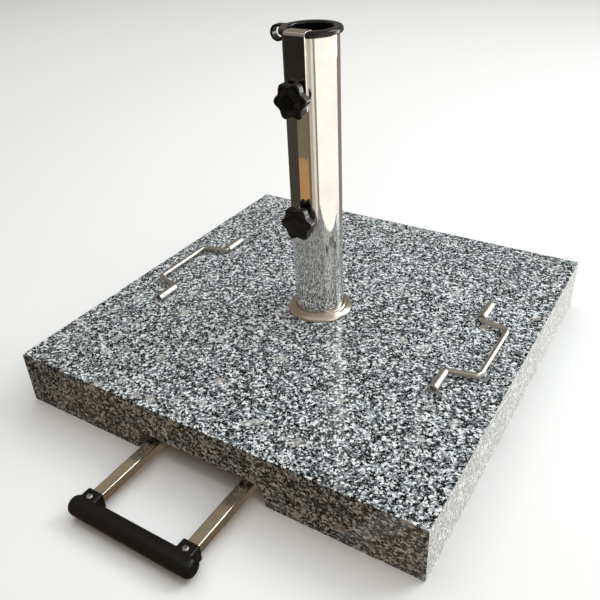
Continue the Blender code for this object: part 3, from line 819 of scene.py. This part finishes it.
@dataclass
class StandTube(SubAssembly):
    """The polished stand tube, its flange ring, seat plug and anchor bolt."""

    wall: float = 0.0015
    rim: float = 0.0005
    hole: float = 0.0045

    def flange(self) -> Mesh:
        """Return the pressed ring that covers the foot of the tube."""
        low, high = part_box("flange_ring")
        near = TUBE_RADIUS + GAP
        far, foot, top = high.x, low.z, high.z
        outline = [(near, foot, 0.0), (far - 0.0006, foot, 0.0005), (far, foot + 0.0007, 0.0006),
                   (far - 0.0012, foot + 0.0026, 0.0020), (near + 0.0052, foot + 0.0049, 0.0030),
                   (near + 0.0026, foot + 0.0052, 0.0016), (near + 0.0022, top - 0.0002, 0.0008),
                   (near, top, 0.0004)]
        return turned_ring(outline, 6, 160)

    def build(self) -> None:
        """Build and dress the tube and the ring, and finish the hidden pieces."""
        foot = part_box("stand_tube")[0].z
        inner = TUBE_RADIUS - self.wall
        outline = [(TUBE_RADIUS, foot, self.rim), (TUBE_RADIUS, TUBE_TOP, self.rim),
                   (inner, TUBE_TOP, self.rim), (inner, foot, self.rim)]
        tube = new_object("tube", turned_ring(outline, 4, 192))
        cut(tube, [rod(self.hole, 0.015, 0.045, screw_axis(level)) for level in Level])
        self.dress(tube, "base", TUBE_STEEL, "stand_tube")
        ring = new_object("tube_flange", self.flange())
        self.dress(ring, "base", FLANGE_STEEL, "flange_ring", angle=60)
        self.carry(ZINC, "seat_plug", "anchor_bolt", "anchor_washer")


@dataclass
class Reducer(SubAssembly):
    """The plastic collar in the tube's mouth with its hook, and the clamp strip."""

    bore: float = 0.023
    hook_width: float = 0.009
    hook_thickness: float = 0.0027
    hook_curl: float = 0.0071
    hook_reach: float = 0.0377
    strip_thickness: float = 0.0028
    strip_bend: float = 0.0026
    strip_inner: float = 0.0166
    strip_hole: float = 0.0085
    screw_hole: float = 0.006

    def hook(self, top: float) -> Mesh:
        """Return the hook that curls down on the left of the collar, below a top.

        Args:
            top: The height of the collar's top.

        Returns:
            The hook's mesh.
        """
        centre = top - 0.0002 - self.hook_thickness / 2 - self.hook_curl
        curl = arc_points((self.hook_reach, centre), self.hook_curl, 90, -110, 28)
        path = [Vector((TUBE_RADIUS - 0.0005, curl[0].y)),
                Vector((TUBE_RADIUS + 0.004, curl[0].y))] + curl
        tip = Vector((TUBE_RADIUS + 0.0030, centre - self.hook_curl * 0.55))
        path += [path[-1].lerp(tip, t) for t in (0.4, 0.8, 1.0)]
        section = rectangle_points(self.hook_width, self.hook_thickness, 0.0009, 5)
        return swept([Vector((-p.x, 0, p.y)) for p in path], section, Vector((0, 1, 0)), 0.0008)

    def collar(self) -> Mesh:
        """Return the turned collar with its sleeve in the tube and its rounded lip on it."""
        low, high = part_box("reducer_collar")
        foot, lip, top = low.z, high.x, high.z
        sleeve, seat = TUBE_RADIUS - 0.0018, TUBE_TOP + GAP
        outline = [(self.bore, foot, 0.0), (sleeve, foot, 0.0), (sleeve, seat, 0.0),
                   (lip, seat, 0.0014), (lip, top, 0.0030), (self.bore, top, 0.0022)]
        return turned_ring(outline, 8, 160)

    def strip_path(self, top: float, outer: float, foot: float) -> list[Vector]:
        """Return the strip's middle line, from the outer foot to the inner one."""
        line = top - self.strip_thickness / 2
        corners = [(outer, foot, 0.0), (outer, line, self.strip_bend),
                   (self.strip_inner, line, self.strip_bend), (self.strip_inner, foot, 0.0)]
        return [Vector((0, -p.x, p.y)) for p in rounded(corners, 10)]

    def build(self) -> None:
        """Build and dress the collar and the strip."""
        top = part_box("reducer_collar")[1].z
        collar = new_object("collar", self.collar())
        cut(collar, [self.hook(top)], "UNION")
        strip_low, strip_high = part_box("clamp_strip")
        half = strip_high.x + GAP
        outer = -strip_low.y - self.strip_thickness / 2
        edge = -strip_low.y - self.strip_thickness - 2 * GAP
        floor = strip_high.z - self.strip_thickness - 2 * GAP
        screw = screw_axis(Level.UPPER)
        cut(collar, [block((-half, -0.045, TUBE_TOP - 0.005), (half, -edge, top + 0.005)),
                     block((-half, -0.045, floor), (half, -0.010, top + 0.005)),
                     rod(self.screw_hole, 0.010, 0.045, screw)])
        self.dress(collar, "base", BLACK, "reducer_collar")

        section = rectangle_points(strip_high.x * 2, self.strip_thickness, 0.0006, 4)
        strip = new_object("strip", swept(
            self.strip_path(strip_high.z, outer, strip_low.z), section, Vector((1, 0, 0)), 0.0004))
        cut(strip, [rod(self.strip_hole, (outer + self.strip_inner) / 2, 0.045, screw, 48)])
        self.dress(strip, "base", STRIP_STEEL, "clamp_strip")


@dataclass
class ClampScrew(SubAssembly):
    """One clamp screw: boss on the tube, threaded stud, star knob and cap."""

    level: Level
    stud: float = 0.004
    pitch: float = 0.00125
    lobes: int = 6
    phase: float = 5.0
    mean: float = 0.0177
    lobe: float = 0.0020
    steps: int = 180
    bore_depth: float = 0.0070

    def knob_loop(self, inset: float, height: float, lobed: float = 1.0) -> Loop:
        """Return one loop of the knob.

        Args:
            inset: How far the loop lies inside the knob's outline.
            height: The loop's height above the knob's back.
            lobed: How much of the lobes is left, from 0 to 1.

        Returns:
            The loop's points.
        """
        loop = []
        for k in range(self.steps):
            angle = math.tau * k / self.steps
            wave = math.cos(self.lobes * (angle - math.radians(self.phase)))
            radius = self.mean - inset + self.lobe * wave * lobed
            loop.append(Vector((radius * math.cos(angle), radius * math.sin(angle), height)))
        return loop

    def knob(self, thickness: float) -> Mesh:
        """Return the star knob: lobed rim, domed face with two ring grooves, blind bore.

        Args:
            thickness: From the back to the edge of the face.

        Returns:
            The knob's mesh, its back at zero.
        """
        face = thickness - 0.0008
        hole = self.mean - self.stud - GAP
        loops = [self.knob_loop(hole, self.bore_depth, 0.0), self.knob_loop(hole, 0.0003, 0.0),
                 self.knob_loop(hole - 0.0005, 0.0, 0.0), self.knob_loop(0.0016, 0.0)]
        loops += [self.knob_loop(0.0012 * (1 - math.sin(a)), 0.0012 * (1 - math.cos(a)))
                  for a in (0.5, 1.0, math.pi / 2)]
        loops += [self.knob_loop(0.0, face - 0.0024)]
        loops += [self.knob_loop(0.0022 * (1 - math.cos(a)), face - 0.0022 + 0.0022 * math.sin(a),
                                 1.0 - 0.10 * a) for a in (0.3, 0.6, 0.9, 1.2, math.pi / 2)]
        rings = [(0.0140, 0.00010, 0.5), (0.01335, 0.00018, 0.1), (0.0129, -0.00025, 0.0),
                 (0.0124, -0.00025, 0.0), (0.0120, 0.00030, 0.0), (0.0109, 0.00050, 0.0),
                 (0.0105, 0.00012, 0.0), (0.0100, 0.00012, 0.0), (0.0096, 0.00070, 0.0),
                 (0.0090, 0.00078, 0.0), (0.0088, 0.00070, 0.0), (0.0088, -0.00080, 0.0)]
        loops += [self.knob_loop(self.mean - r, face + h, lobed) for r, h, lobed in rings]
        return skin(loops)

    def cap(self, foot: float, top: float) -> Mesh:
        """Return the flat cap in the knob's face."""
        outline = [(0.0, foot, 0.0), (0.0085, foot, 0.0002), (0.0085, top - 0.0006, 0.0),
                   (0.0080, top, 0.0005), (0.0, top, 0.0)]
        return turned(rounded(outline, 5), 96)

    def thread(self, tip: float, end: float) -> Mesh:
        """Return the threaded stud, its crests and roots turned as fine rings.

        Args:
            tip: Where the stud begins on its axis.
            end: Where it ends.

        Returns:
            The stud's mesh.
        """
        profile = [(0.0, tip), (self.stud - 0.0012, tip), (self.stud - 0.0005, tip + 0.0008)]
        height = tip + 0.0010
        while height + self.pitch < end - 0.001:
            profile += [(self.stud - 0.0005, height), (self.stud, height + self.pitch * 0.35),
                        (self.stud, height + self.pitch * 0.55)]
            height += self.pitch
        profile += [(self.stud, end), (0.0, end)]
        return turned(profile, 40)

    def build(self) -> None:
        """Build and dress the boss, stud, knob and cap."""
        name = self.level.word
        low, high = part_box(f"{name}_knob")
        place = screw_axis(self.level)
        knob = new_object(f"{name}_star_knob", moved(
            self.knob(high.y - low.y), place @ at(0, 0, -high.y)))
        self.dress(knob, f"{name}_knob", BLACK, f"{name}_knob", angle=50)
        cap_low, cap_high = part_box(f"{name}_knob_cap")
        cap = new_object(f"{name}_cap", moved(self.cap(-cap_high.y, -cap_low.y), place))
        self.dress(cap, f"{name}_knob", BLACK, f"{name}_knob_cap", angle=50)
        stud_low, stud_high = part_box(f"{name}_knob_stud")
        stud = new_object(f"{name}_stud", moved(self.thread(-stud_high.y, -stud_low.y), place))
        self.dress(stud, f"{name}_screw", ZINC, f"{name}_knob_stud")
        self.boss(name, place)

    def boss(self, name: str, place: Matrix) -> None:
        """Build and dress the threaded boss, cut to the tube's round.

        Args:
            name: The clamp screw's name in the frame.
            place: The matrix of the screw's axis.
        """
        low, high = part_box(f"{name}_boss")
        face, radius, inside = -low.y, high.x, 0.020
        bore = self.stud + GAP
        outline = [(bore, inside, 0.0), (radius, inside, 0.0), (radius, face, 0.0007),
                   (bore, face, 0.0005)]
        boss = new_object(f"{name}_weld_boss", moved(turned_ring(outline, 5, 72), place))
        middle = at(0, 0, (low.z + high.z) / 2)
        cut(boss, [rod(TUBE_RADIUS + GAP, -0.02, 0.02, middle, 192)])
        self.dress(boss, "base", ZINC, f"{name}_boss")


@dataclass
class Bail(SubAssembly):
    """One folding carrying bail: the bent rod and its two sleeves with their nuts."""

    side: Side
    axis: float = 0.185
    reach: float = 0.034
    leg: float = 0.054
    grip: float = 0.047
    rod: float = 0.003
    end: float = 0.085
    foot_bend: float = 0.0045
    grip_bend: float = 0.008
    bore: float = 0.0034
    stud: float = 0.003
    stud_drop: float = 0.0041

    def path(self, height: float) -> list[Vector]:
        """Return the middle line of the bent rod."""
        half = [(0.0, self.end, 0.0), (0.0, self.leg, self.foot_bend),
                (self.reach, self.grip, self.grip_bend)]
        return [Vector((self.side.value * (self.axis + p.x), p.y, height))
                for p in rounded(half + mirrored(half), 12)]

    def sleeve(self, length: float, radius: float) -> Mesh:
        """Return one sleeve as an open tube along Z."""
        half = [(self.bore, -length / 2, 0.0004), (radius, -length / 2, 0.0007)]
        return turned_ring(half + mirrored(half), 4, 64)

    def build(self) -> None:
        """Build and dress the rod and the sleeves, and finish the hidden pieces."""
        word = self.side.word
        low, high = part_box(f"{word}_bail")
        height = (low.z + high.z) / 2
        bent = new_object(f"{word}_bail_rod", swept(
            self.path(height), circle_points(self.rod, 32), Vector((0, 0, 1)), 0.0005))
        self.dress(bent, f"{word}_bail", ROD_STEEL, f"{word}_bail")
        for end in End:
            node = f"{word}_{end.word}_sleeve"
            foot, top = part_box(node)
            middle = middle_of(node)
            sleeve = new_object(f"{word}_{end.word}_hinge_sleeve", moved(
                self.sleeve(top.y - foot.y, top.z - height),
                at(middle.x, middle.y, height) @ TOWARDS_FRONT))
            head = height - self.stud_drop
            stud = turned(rounded([(0.0, foot.z, 0.0), (self.stud, foot.z, 0.0005),
                                   (self.stud, head, 0.0), (0.0, head, 0.0)], 4), 40)
            cut(sleeve, [moved(stud, at(middle.x, middle.y, 0))], "UNION")
            self.dress(sleeve, "base", ROD_STEEL, node)
            self.carry(ZINC, f"{word}_{end.word}_washer", f"{word}_{end.word}_nut")


@dataclass
class Trolley(SubAssembly):
    """The pull-out handle: two rails in their guides and the moulded grip."""

    rail: tuple[float, float] = (0.014, 0.012)
    rail_wall: float = 0.0012
    rail_edge: float = 0.0022
    grip_radius: float = 0.0103
    grip_round: float = 0.0068
    socket: tuple[float, float] = (0.020, 0.0194)
    socket_back: float = -0.331
    voxel: float = 0.00055
    screw_sink: float = 0.0044
    sink_depth: float = 0.0012
    screw_hole: float = 0.0020
    recess: tuple[float, float] = (0.0020, 0.0006)

    def bar_section(self, size: tuple[float, float], radius: float, y: float, x: float,
                    z: float) -> Loop:
        """Return a rounded section across the Y axis.

        Args:
            size: Its width and height.
            radius: The radius of its corners.
            y: Where it stands along Y.
            x: Its middle's X.
            z: Its middle's Z.

        Returns:
            The section's points.
        """
        return [Vector((x + p.x, y, z + p.y)) for p in rectangle_points(*size, radius)]

    def rails(self) -> None:
        """Build and dress the two hollow rails."""
        for side in Side:
            low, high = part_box(f"{side.word}_rail")
            x, z = (low.x + high.x) / 2, (low.z + high.z) / 2
            inner = tuple(s - 2 * self.rail_wall for s in self.rail)
            inner_edge = self.rail_edge - self.rail_wall
            loops = [self.bar_section(size, radius, y, x, z) for size, radius, y in (
                (self.rail, self.rail_edge, low.y), (self.rail, self.rail_edge, high.y),
                (inner, inner_edge, high.y), (inner, inner_edge, low.y))]
            rail = new_object(f"{side.word}_slide_rail", skin(loops, closed=True))
            self.dress(rail, "trolley", RAIL_STEEL, f"{side.word}_rail", angle=40)

    def grip_mesh(self, low: Vector, high: Vector, z: float) -> Mesh:
        """Return the grip's bar and sockets, still as overlapping volumes.

        Args:
            low: The lowest corner of the grip's box.
            high: Its highest corner.
            z: The height of the rails' middle.

        Returns:
            The mesh of all volumes.
        """
        y = low.y + self.grip_radius
        fillet = self.grip_round
        stations = [(high.x - fillet * (1 - math.sin(a)),
                     self.grip_radius - fillet * 0.62 * (1 - math.cos(a)))
                    for a in (0.0, 0.3, 0.6, 0.9, 1.2, 1.4, math.pi / 2)]
        line = [(-x, r) for x, r in reversed(stations)] + stations
        parts = [skin([[Vector((x, y + p.x, z + p.y)) for p in circle_points(r, 64)] for x, r in line])]
        tight = tuple(s - 0.0012 for s in self.socket)
        for side in Side:
            x = middle_of(f"{side.word}_rail").x
            parts.append(skin([
                self.bar_section(size, radius, station, x, z) for size, radius, station in (
                    (self.socket, 0.0030, y - 0.002), (self.socket, 0.0030, self.socket_back - 0.0008),
                    (tight, 0.0026, self.socket_back))]))
        return joined(parts)

    def grip(self) -> None:
        """Build and dress the moulded grip in one piece with its sockets."""
        low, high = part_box("trolley_grip")
        rail_low, rail_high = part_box("left_rail")
        z = (rail_low.z + rail_high.z) / 2
        grip = new_object("grip", self.grip_mesh(low, high, z))
        remesh = grip.modifiers.new("cast", "REMESH")
        remesh.mode = "VOXEL"
        remesh.voxel_size = self.voxel
        smooth = grip.modifiers.new("ease", "SMOOTH")
        smooth.factor = 0.5
        smooth.iterations = 8
        settle(grip)
        tools = []
        size = tuple(s + 2 * GAP for s in self.rail)
        top = z + self.socket[1] / 2
        for side in Side:
            x = middle_of(f"{side.word}_rail").x
            tools.append(skin([self.bar_section(size, self.rail_edge, y, x, z)
                               for y in (rail_low.y - GAP, self.socket_back + BEYOND)]))
            place = at(x, middle_of(f"{side.word}_grip_screw").y, 0)
            tools.append(rod(self.screw_sink, top - self.sink_depth, top + BEYOND, place, 64))
            tools.append(rod(self.screw_hole, z, top + BEYOND, place))
        cut(grip, tools)
        self.dress(grip, "trolley", GRIP_BLACK, "trolley_grip", angle=48)

    def screws(self) -> None:
        """Build and dress the two cross-recess screws of the grip."""
        for side in Side:
            low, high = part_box(f"{side.word}_grip_screw")
            place = at((low.x + high.x) / 2, (low.y + high.y) / 2, 0)
            seat = high.z - 0.0022
            outline = [(0.0, low.z, 0.0), (0.0017, low.z + 0.0006, 0.0), (0.0017, seat, 0.0),
                       (0.0034, seat, 0.0003), (0.0034, seat + 0.0010, 0.0006),
                       (0.0026, seat + 0.0020, 0.0012), (0.0010, seat + 0.0022, 0.0),
                       (0.0, seat + 0.0022, 0.0)]
            screw = new_object(f"{side.word}_cross_screw", moved(
                turned(rounded(outline, 5), 56), place))
            deep = seat + 0.0003
            cut(screw, [moved(block((-u, -v, deep), (u, v, deep + BEYOND)), place)
                        for v, u in (self.recess, self.recess[::-1])])
            self.dress(screw, "trolley", ZINC, f"{side.word}_grip_screw")

    def build(self) -> None:
        """Build and dress the rails, grip and screws, and finish the hidden guides."""
        self.rails()
        self.grip()
        self.screws()
        for side in Side:
            self.carry(ZINC, f"{side.word}_guide_tube")
            self.carry(GREY, f"{side.word}_guide_bush", f"{side.word}_rail_slider")
        for end in End:
            self.carry(ZINC, f"{end.word}_cross_plate", f"{end.word}_plate_screw_left",
                       f"{end.word}_plate_screw_right")


@dataclass
class Wheel(SubAssembly):
    """One rear wheel: bracket, axle, spoked hub and grooved tyre."""

    side: Side
    bore: float = 0.0043
    hub: float = 0.0127
    grooves: int = 3
    groove_pitch: float = 0.0042
    spoke_holes: int = 8
    spoke_hole: float = 0.0011
    spoke_circle: float = 0.0094
    bracket_wall: float = 0.002
    bracket_hole: float = 0.0027

    def hub_mesh(self, half: float) -> Mesh:
        """Return the hub with its dished faces."""
        face = [(self.bore, -half, 0.0003), (0.0072, -half, 0.0006),
                (0.0078, -half + 0.0035, 0.0008), (0.0112, -half + 0.0038, 0.0010),
                (0.0116, -half + 0.0020, 0.0004), (self.hub, -half + 0.0020, 0.0003)]
        return turned_ring(face + mirrored(face), 4, 96)

    def tyre_mesh(self, half: float, radius: float) -> Mesh:
        """Return the tyre with its round shoulders and tread grooves.

        Args:
            half: Half the tyre's width.
            radius: Its radius.

        Returns:
            The tyre's mesh.
        """
        shoulder = [(self.hub + GAP, -half + 0.001, 0.0003), (radius - 0.003, -half, 0.0010),
                    (radius, -half + 0.0030, 0.0022)]
        outline = list(shoulder)
        for k in range(self.grooves):
            middle = (k - (self.grooves - 1) / 2) * self.groove_pitch
            outline += [(radius - depth, middle + height, bend) for depth, height, bend in (
                (0.0, -0.0008, 0.0003), (0.0010, -0.0004, 0.0002),
                (0.0010, 0.0004, 0.0002), (0.0, 0.0008, 0.0003))]
        return turned_ring(outline + mirrored(shoulder), 4, 128)

    def bracket_mesh(self, low: Vector, high: Vector) -> Mesh:
        """Return the folded bracket with rounded folds.

        Args:
            low: The lowest corner of the bracket's box.
            high: Its highest corner.

        Returns:
            The bracket's mesh.
        """
        middle = (low.x + high.x) / 2
        half = (high.x - low.x) / 2
        inner, under = half - self.bracket_wall, high.z - self.bracket_wall
        outline = rounded([
            (-half, low.z, 0.0008), (-inner, low.z, 0.0008),
            (-inner, under, 0.0010), (inner, under, 0.0010),
            (inner, low.z, 0.0008), (half, low.z, 0.0008),
            (half, high.z, 0.0028), (-half, high.z, 0.0028)], 5, closed=True)
        return skin([[Vector((middle + p.x, y, p.y)) for p in outline] for y in (low.y, high.y)])

    def build(self) -> None:
        """Build and dress the wheel, and finish its bracket, screw and axle."""
        word = self.side.word
        low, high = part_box(f"{word}_wheel_tyre")
        centre = middle_of(f"{word}_wheel_tyre")
        place = at(*centre) @ TOWARDS_RIGHT
        half = (high.x - low.x) / 2
        tyre = new_object(f"{word}_tyre", moved(self.tyre_mesh(half, high.z - centre.z), place))
        self.dress(tyre, f"{word}_wheel", TYRE, f"{word}_wheel_tyre", angle=50)
        hub_low, hub_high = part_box(f"{word}_wheel_hub")
        hub = new_object(f"{word}_hub", moved(self.hub_mesh((hub_high.x - hub_low.x) / 2), place))
        cut(hub, [rod(self.spoke_hole, -0.03, 0.03, place @ at(p.x, p.y, 0), 24)
                  for p in circle_points(self.spoke_circle, self.spoke_holes)])
        self.dress(hub, f"{word}_wheel", GREY, f"{word}_wheel_hub", angle=40)
        bracket = new_object(f"{word}_bracket", self.bracket_mesh(*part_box(f"{word}_wheel_bracket")))
        foot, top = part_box(f"{word}_bracket_screw")
        screw = middle_of(f"{word}_bracket_screw")
        cut(bracket, [rod(self.bore, -0.03, 0.03, place, 40),
                      rod(self.bracket_hole, foot.z, top.z, at(screw.x, screw.y, 0))])
        self.dress(bracket, "base", ZINC, f"{word}_wheel_bracket")
        self.carry(ZINC, f"{word}_axle", f"{word}_bracket_screw")


# Studio -----------------------------------------------------------------------


@dataclass(frozen=True)
class Softbox:
    """One soft light of the studio, aimed at a point."""

    name: str
    place: tuple[float, float, float]
    aim: tuple[float, float, float]
    size: tuple[float, float]
    power: float
    colour: Colour = (1.0, 1.0, 1.0)
    mirrored: bool = True

    def build(self) -> None:
        """Add the light to the scene."""
        data = bpy.data.lights.new(self.name, "AREA")
        data.shape = "RECTANGLE"
        data.size, data.size_y = self.size
        data.energy = self.power
        data.color = self.colour
        lamp = bpy.data.objects.new(self.name, data)
        bpy.context.scene.collection.objects.link(lamp)
        lamp.location = self.place
        lamp.visible_glossy = self.mirrored
        way = Vector(self.aim) - Vector(self.place)
        lamp.rotation_euler = way.to_track_quat("-Z", "Y").to_euler()


@dataclass(frozen=True)
class Board:
    """A board on the studio floor, a sector of a ring round the origin.

    It is out of the camera's sight; where it rises, it is an upright wall. A glowing board
    emits light though it is no lamp and is seen only in the mirroring pieces: it paints
    reflections of a ground and glints on the polished steel and plastic. A matt board is
    seen only by diffuse light: it keeps the pale floor's light off the stone's front, which
    paints shade and a warm fill there.
    """

    name: str
    headings: tuple[float, float]
    reach: tuple[float, float]
    colour: Colour
    glows: bool = True
    rise: float = 0.0
    height: float = 0.0005
    steps: int = 24

    def build(self) -> None:
        """Add the board to the stage."""
        mesh = bmesh.new()
        near, far = ([mesh.verts.new((p.x, p.y, GROUND + self.height + lift))
                      for p in arc_points((0.0, 0.0), radius, *self.headings, self.steps)]
                     for radius, lift in zip(self.reach, (0.0, self.rise)))
        for corners in zip(near, far, far[1:], near[1:]):
            mesh.faces.new(corners)
        board = new_object(self.name, mesh)
        wiring = Wiring(self.name)
        tone = (*self.colour, 1.0)
        wiring.set(Roughness=1.0, Specular_IOR_Level=0.0)
        # a glowing board paints reflections: it emits light though it is no lamp, for glossy rays only
        if self.glows:
            wiring.set(Base_Color=(0.0, 0.0, 0.0, 1.0), Emission_Color=tone, Emission_Strength=1.0)
        else:
            wiring.set(Base_Color=tone)
        blend = wiring.tree.nodes.new("ShaderNodeMixShader")
        wiring.feed(blend.inputs[0], wiring.node("ShaderNodeNewGeometry").outputs["Backfacing"])
        wiring.feed(blend.inputs[1], wiring.shader.outputs[0])
        wiring.feed(blend.inputs[2], wiring.node("ShaderNodeBsdfTransparent").outputs[0])
        wiring.feed(wiring.tree.nodes["Material Output"].inputs["Surface"], blend.outputs[0])
        board.data.materials.append(wiring.material)
        board.visible_camera = False
        board.visible_diffuse = not self.glows
        board.visible_glossy = self.glows
        board.visible_shadow = False
        board.visible_transmission = False


SOFTBOXES = (
    Softbox("key_softbox", (1.25, 1.3, 1.7), (0.0, 0.0, 0.05), (1.1, 1.1), 26.0,
            (0.92, 0.97, 1.0)),
    Softbox("front_softbox", (0.2, -0.6, 1.6), (0.1, -0.2, 0), (2.2, 1.4), 4.0,
            (0.90, 0.96, 1.0)),
    Softbox("side_softbox", (1.6, -0.3, 1.0), (0, 0, 0.05), (1.2, 1.2), 6.0,
            (1.0, 0.97, 0.92)),
    Softbox("ceiling_softbox", (-0.9, 1.5, 3.0), (-0.9, 1.5, 0), (4.5, 4.5), 85.0,
            (0.90, 0.96, 1.0), mirrored=False),
)
# Boards out of the camera's sight: the glowing ones paint reflections and glints on the polished
# pieces; the matt shading_board paints shade and a warm fill on the stone's front.
BOARDS = (
    Board("shading_board", (-150, -44), (0.0, 2.6), (0.20, 0.13, 0.06), glows=False),
    Board("dusk_board", (-131, -58), (0.24, 0.45), (0.15, 0.115, 0.08)),
    Board("amber_board", (-131, -86), (0.45, 0.72), (0.50, 0.28, 0.13)),
    Board("umber_board", (-131, -86), (0.72, 1.05), (0.20, 0.165, 0.11)),
    Board("dark_board", (-131, -86), (1.05, 3.6), (0.014, 0.013, 0.010)),
    Board("olive_board", (-86, -76), (0.45, 3.6), (0.17, 0.145, 0.09)),
    Board("beige_board", (-76, -63), (0.45, 3.6), (0.58, 0.51, 0.39)),
    Board("pale_board", (-63, -54), (0.45, 3.6), (0.85, 0.85, 0.86)),
    Board("brown_board", (-54, -46), (0.30, 3.6), (0.38, 0.30, 0.20)),
    Board("cream_board", (-46, 58), (0.20, 3.6), (1.25, 1.24, 1.16)),
    Board("rear_board", (58, 122), (0.36, 3.6), (0.30, 0.26, 0.21)),
    Board("glint_board", (38, 60), (1.6, 1.6), (7.0, 7.0, 7.0), rise=0.75),
    Board("left_board", (-238, -131), (0.30, 3.6), (0.060, 0.055, 0.045)),
)


@dataclass(frozen=True)
class Studio:
    """The pale floor, the lights and the camera."""

    floor_colour: Colour = (0.93, 0.93, 0.93)
    floor_size: float = 8.0
    sky: Colour = (1.0, 0.87, 0.68)
    sky_strength: float = 0.26
    camera_place: tuple[float, float, float] = (0.37436, -0.61214, 0.53068)
    azimuth: float = 33.402
    elevation: float = 32.426
    roll: float = -2.989
    lens: float = 41.48

    def floor(self) -> None:
        """Add the floor to the stage."""
        half = self.floor_size / 2
        mesh = bmesh.new()
        mesh.faces.new([mesh.verts.new((x, y, GROUND - 0.0002)) for x, y in (
            (-half, -half), (half, -half), (half, half), (-half, half))])
        floor = new_object("floor", mesh)
        wiring = Wiring("floor_paper")
        wiring.set(Base_Color=(*self.floor_colour, 1.0), Roughness=0.9)
        floor.data.materials.append(wiring.material)

    def world(self) -> None:
        """Light the scene with an even sky."""
        world = bpy.data.worlds.new("studio")
        world.use_nodes = True
        back = world.node_tree.nodes["Background"]
        back.inputs["Color"].default_value = (*self.sky, 1.0)
        back.inputs["Strength"].default_value = self.sky_strength
        bpy.context.scene.world = world

    def camera(self) -> None:
        """Add the camera, whose height is counted from the ground."""
        data = bpy.data.cameras.new("camera")
        data.lens = self.lens
        data.sensor_width = 36.0
        data.clip_start = 0.01
        camera = bpy.data.objects.new("camera", data)
        bpy.context.scene.collection.objects.link(camera)
        x, y, z = self.camera_place
        turn, tilt, roll = (Matrix.Rotation(math.radians(angle), 4, axis) for angle, axis in (
            (self.azimuth, "Z"), (90 - self.elevation, "X"), (self.roll, "Z")))
        camera.matrix_world = at(x, y, z + GROUND) @ turn @ tilt @ roll
        bpy.context.scene.camera = camera

    def build(self) -> None:
        """Build the whole studio."""
        bpy.context.scene.view_settings.view_transform = "Standard"
        self.floor()
        self.world()
        self.camera()
        for item in (*SOFTBOXES, *BOARDS):
            item.build()


def main() -> None:
    """Build every sub-assembly and the studio, and log the pieces."""
    logging.basicConfig(level=logging.INFO, format="%(message)s")
    assemblies: list[SubAssembly] = [Stone(), StandTube(), Reducer()]
    assemblies += [ClampScrew(level) for level in Level]
    assemblies += [Bail(side) for side in Side]
    assemblies.append(Trolley())
    assemblies += [Wheel(side) for side in Side]
    for assembly in assemblies:
        assembly.build()
        assembly.report()
    Studio().build()


if __name__ == "__main__":
    main()
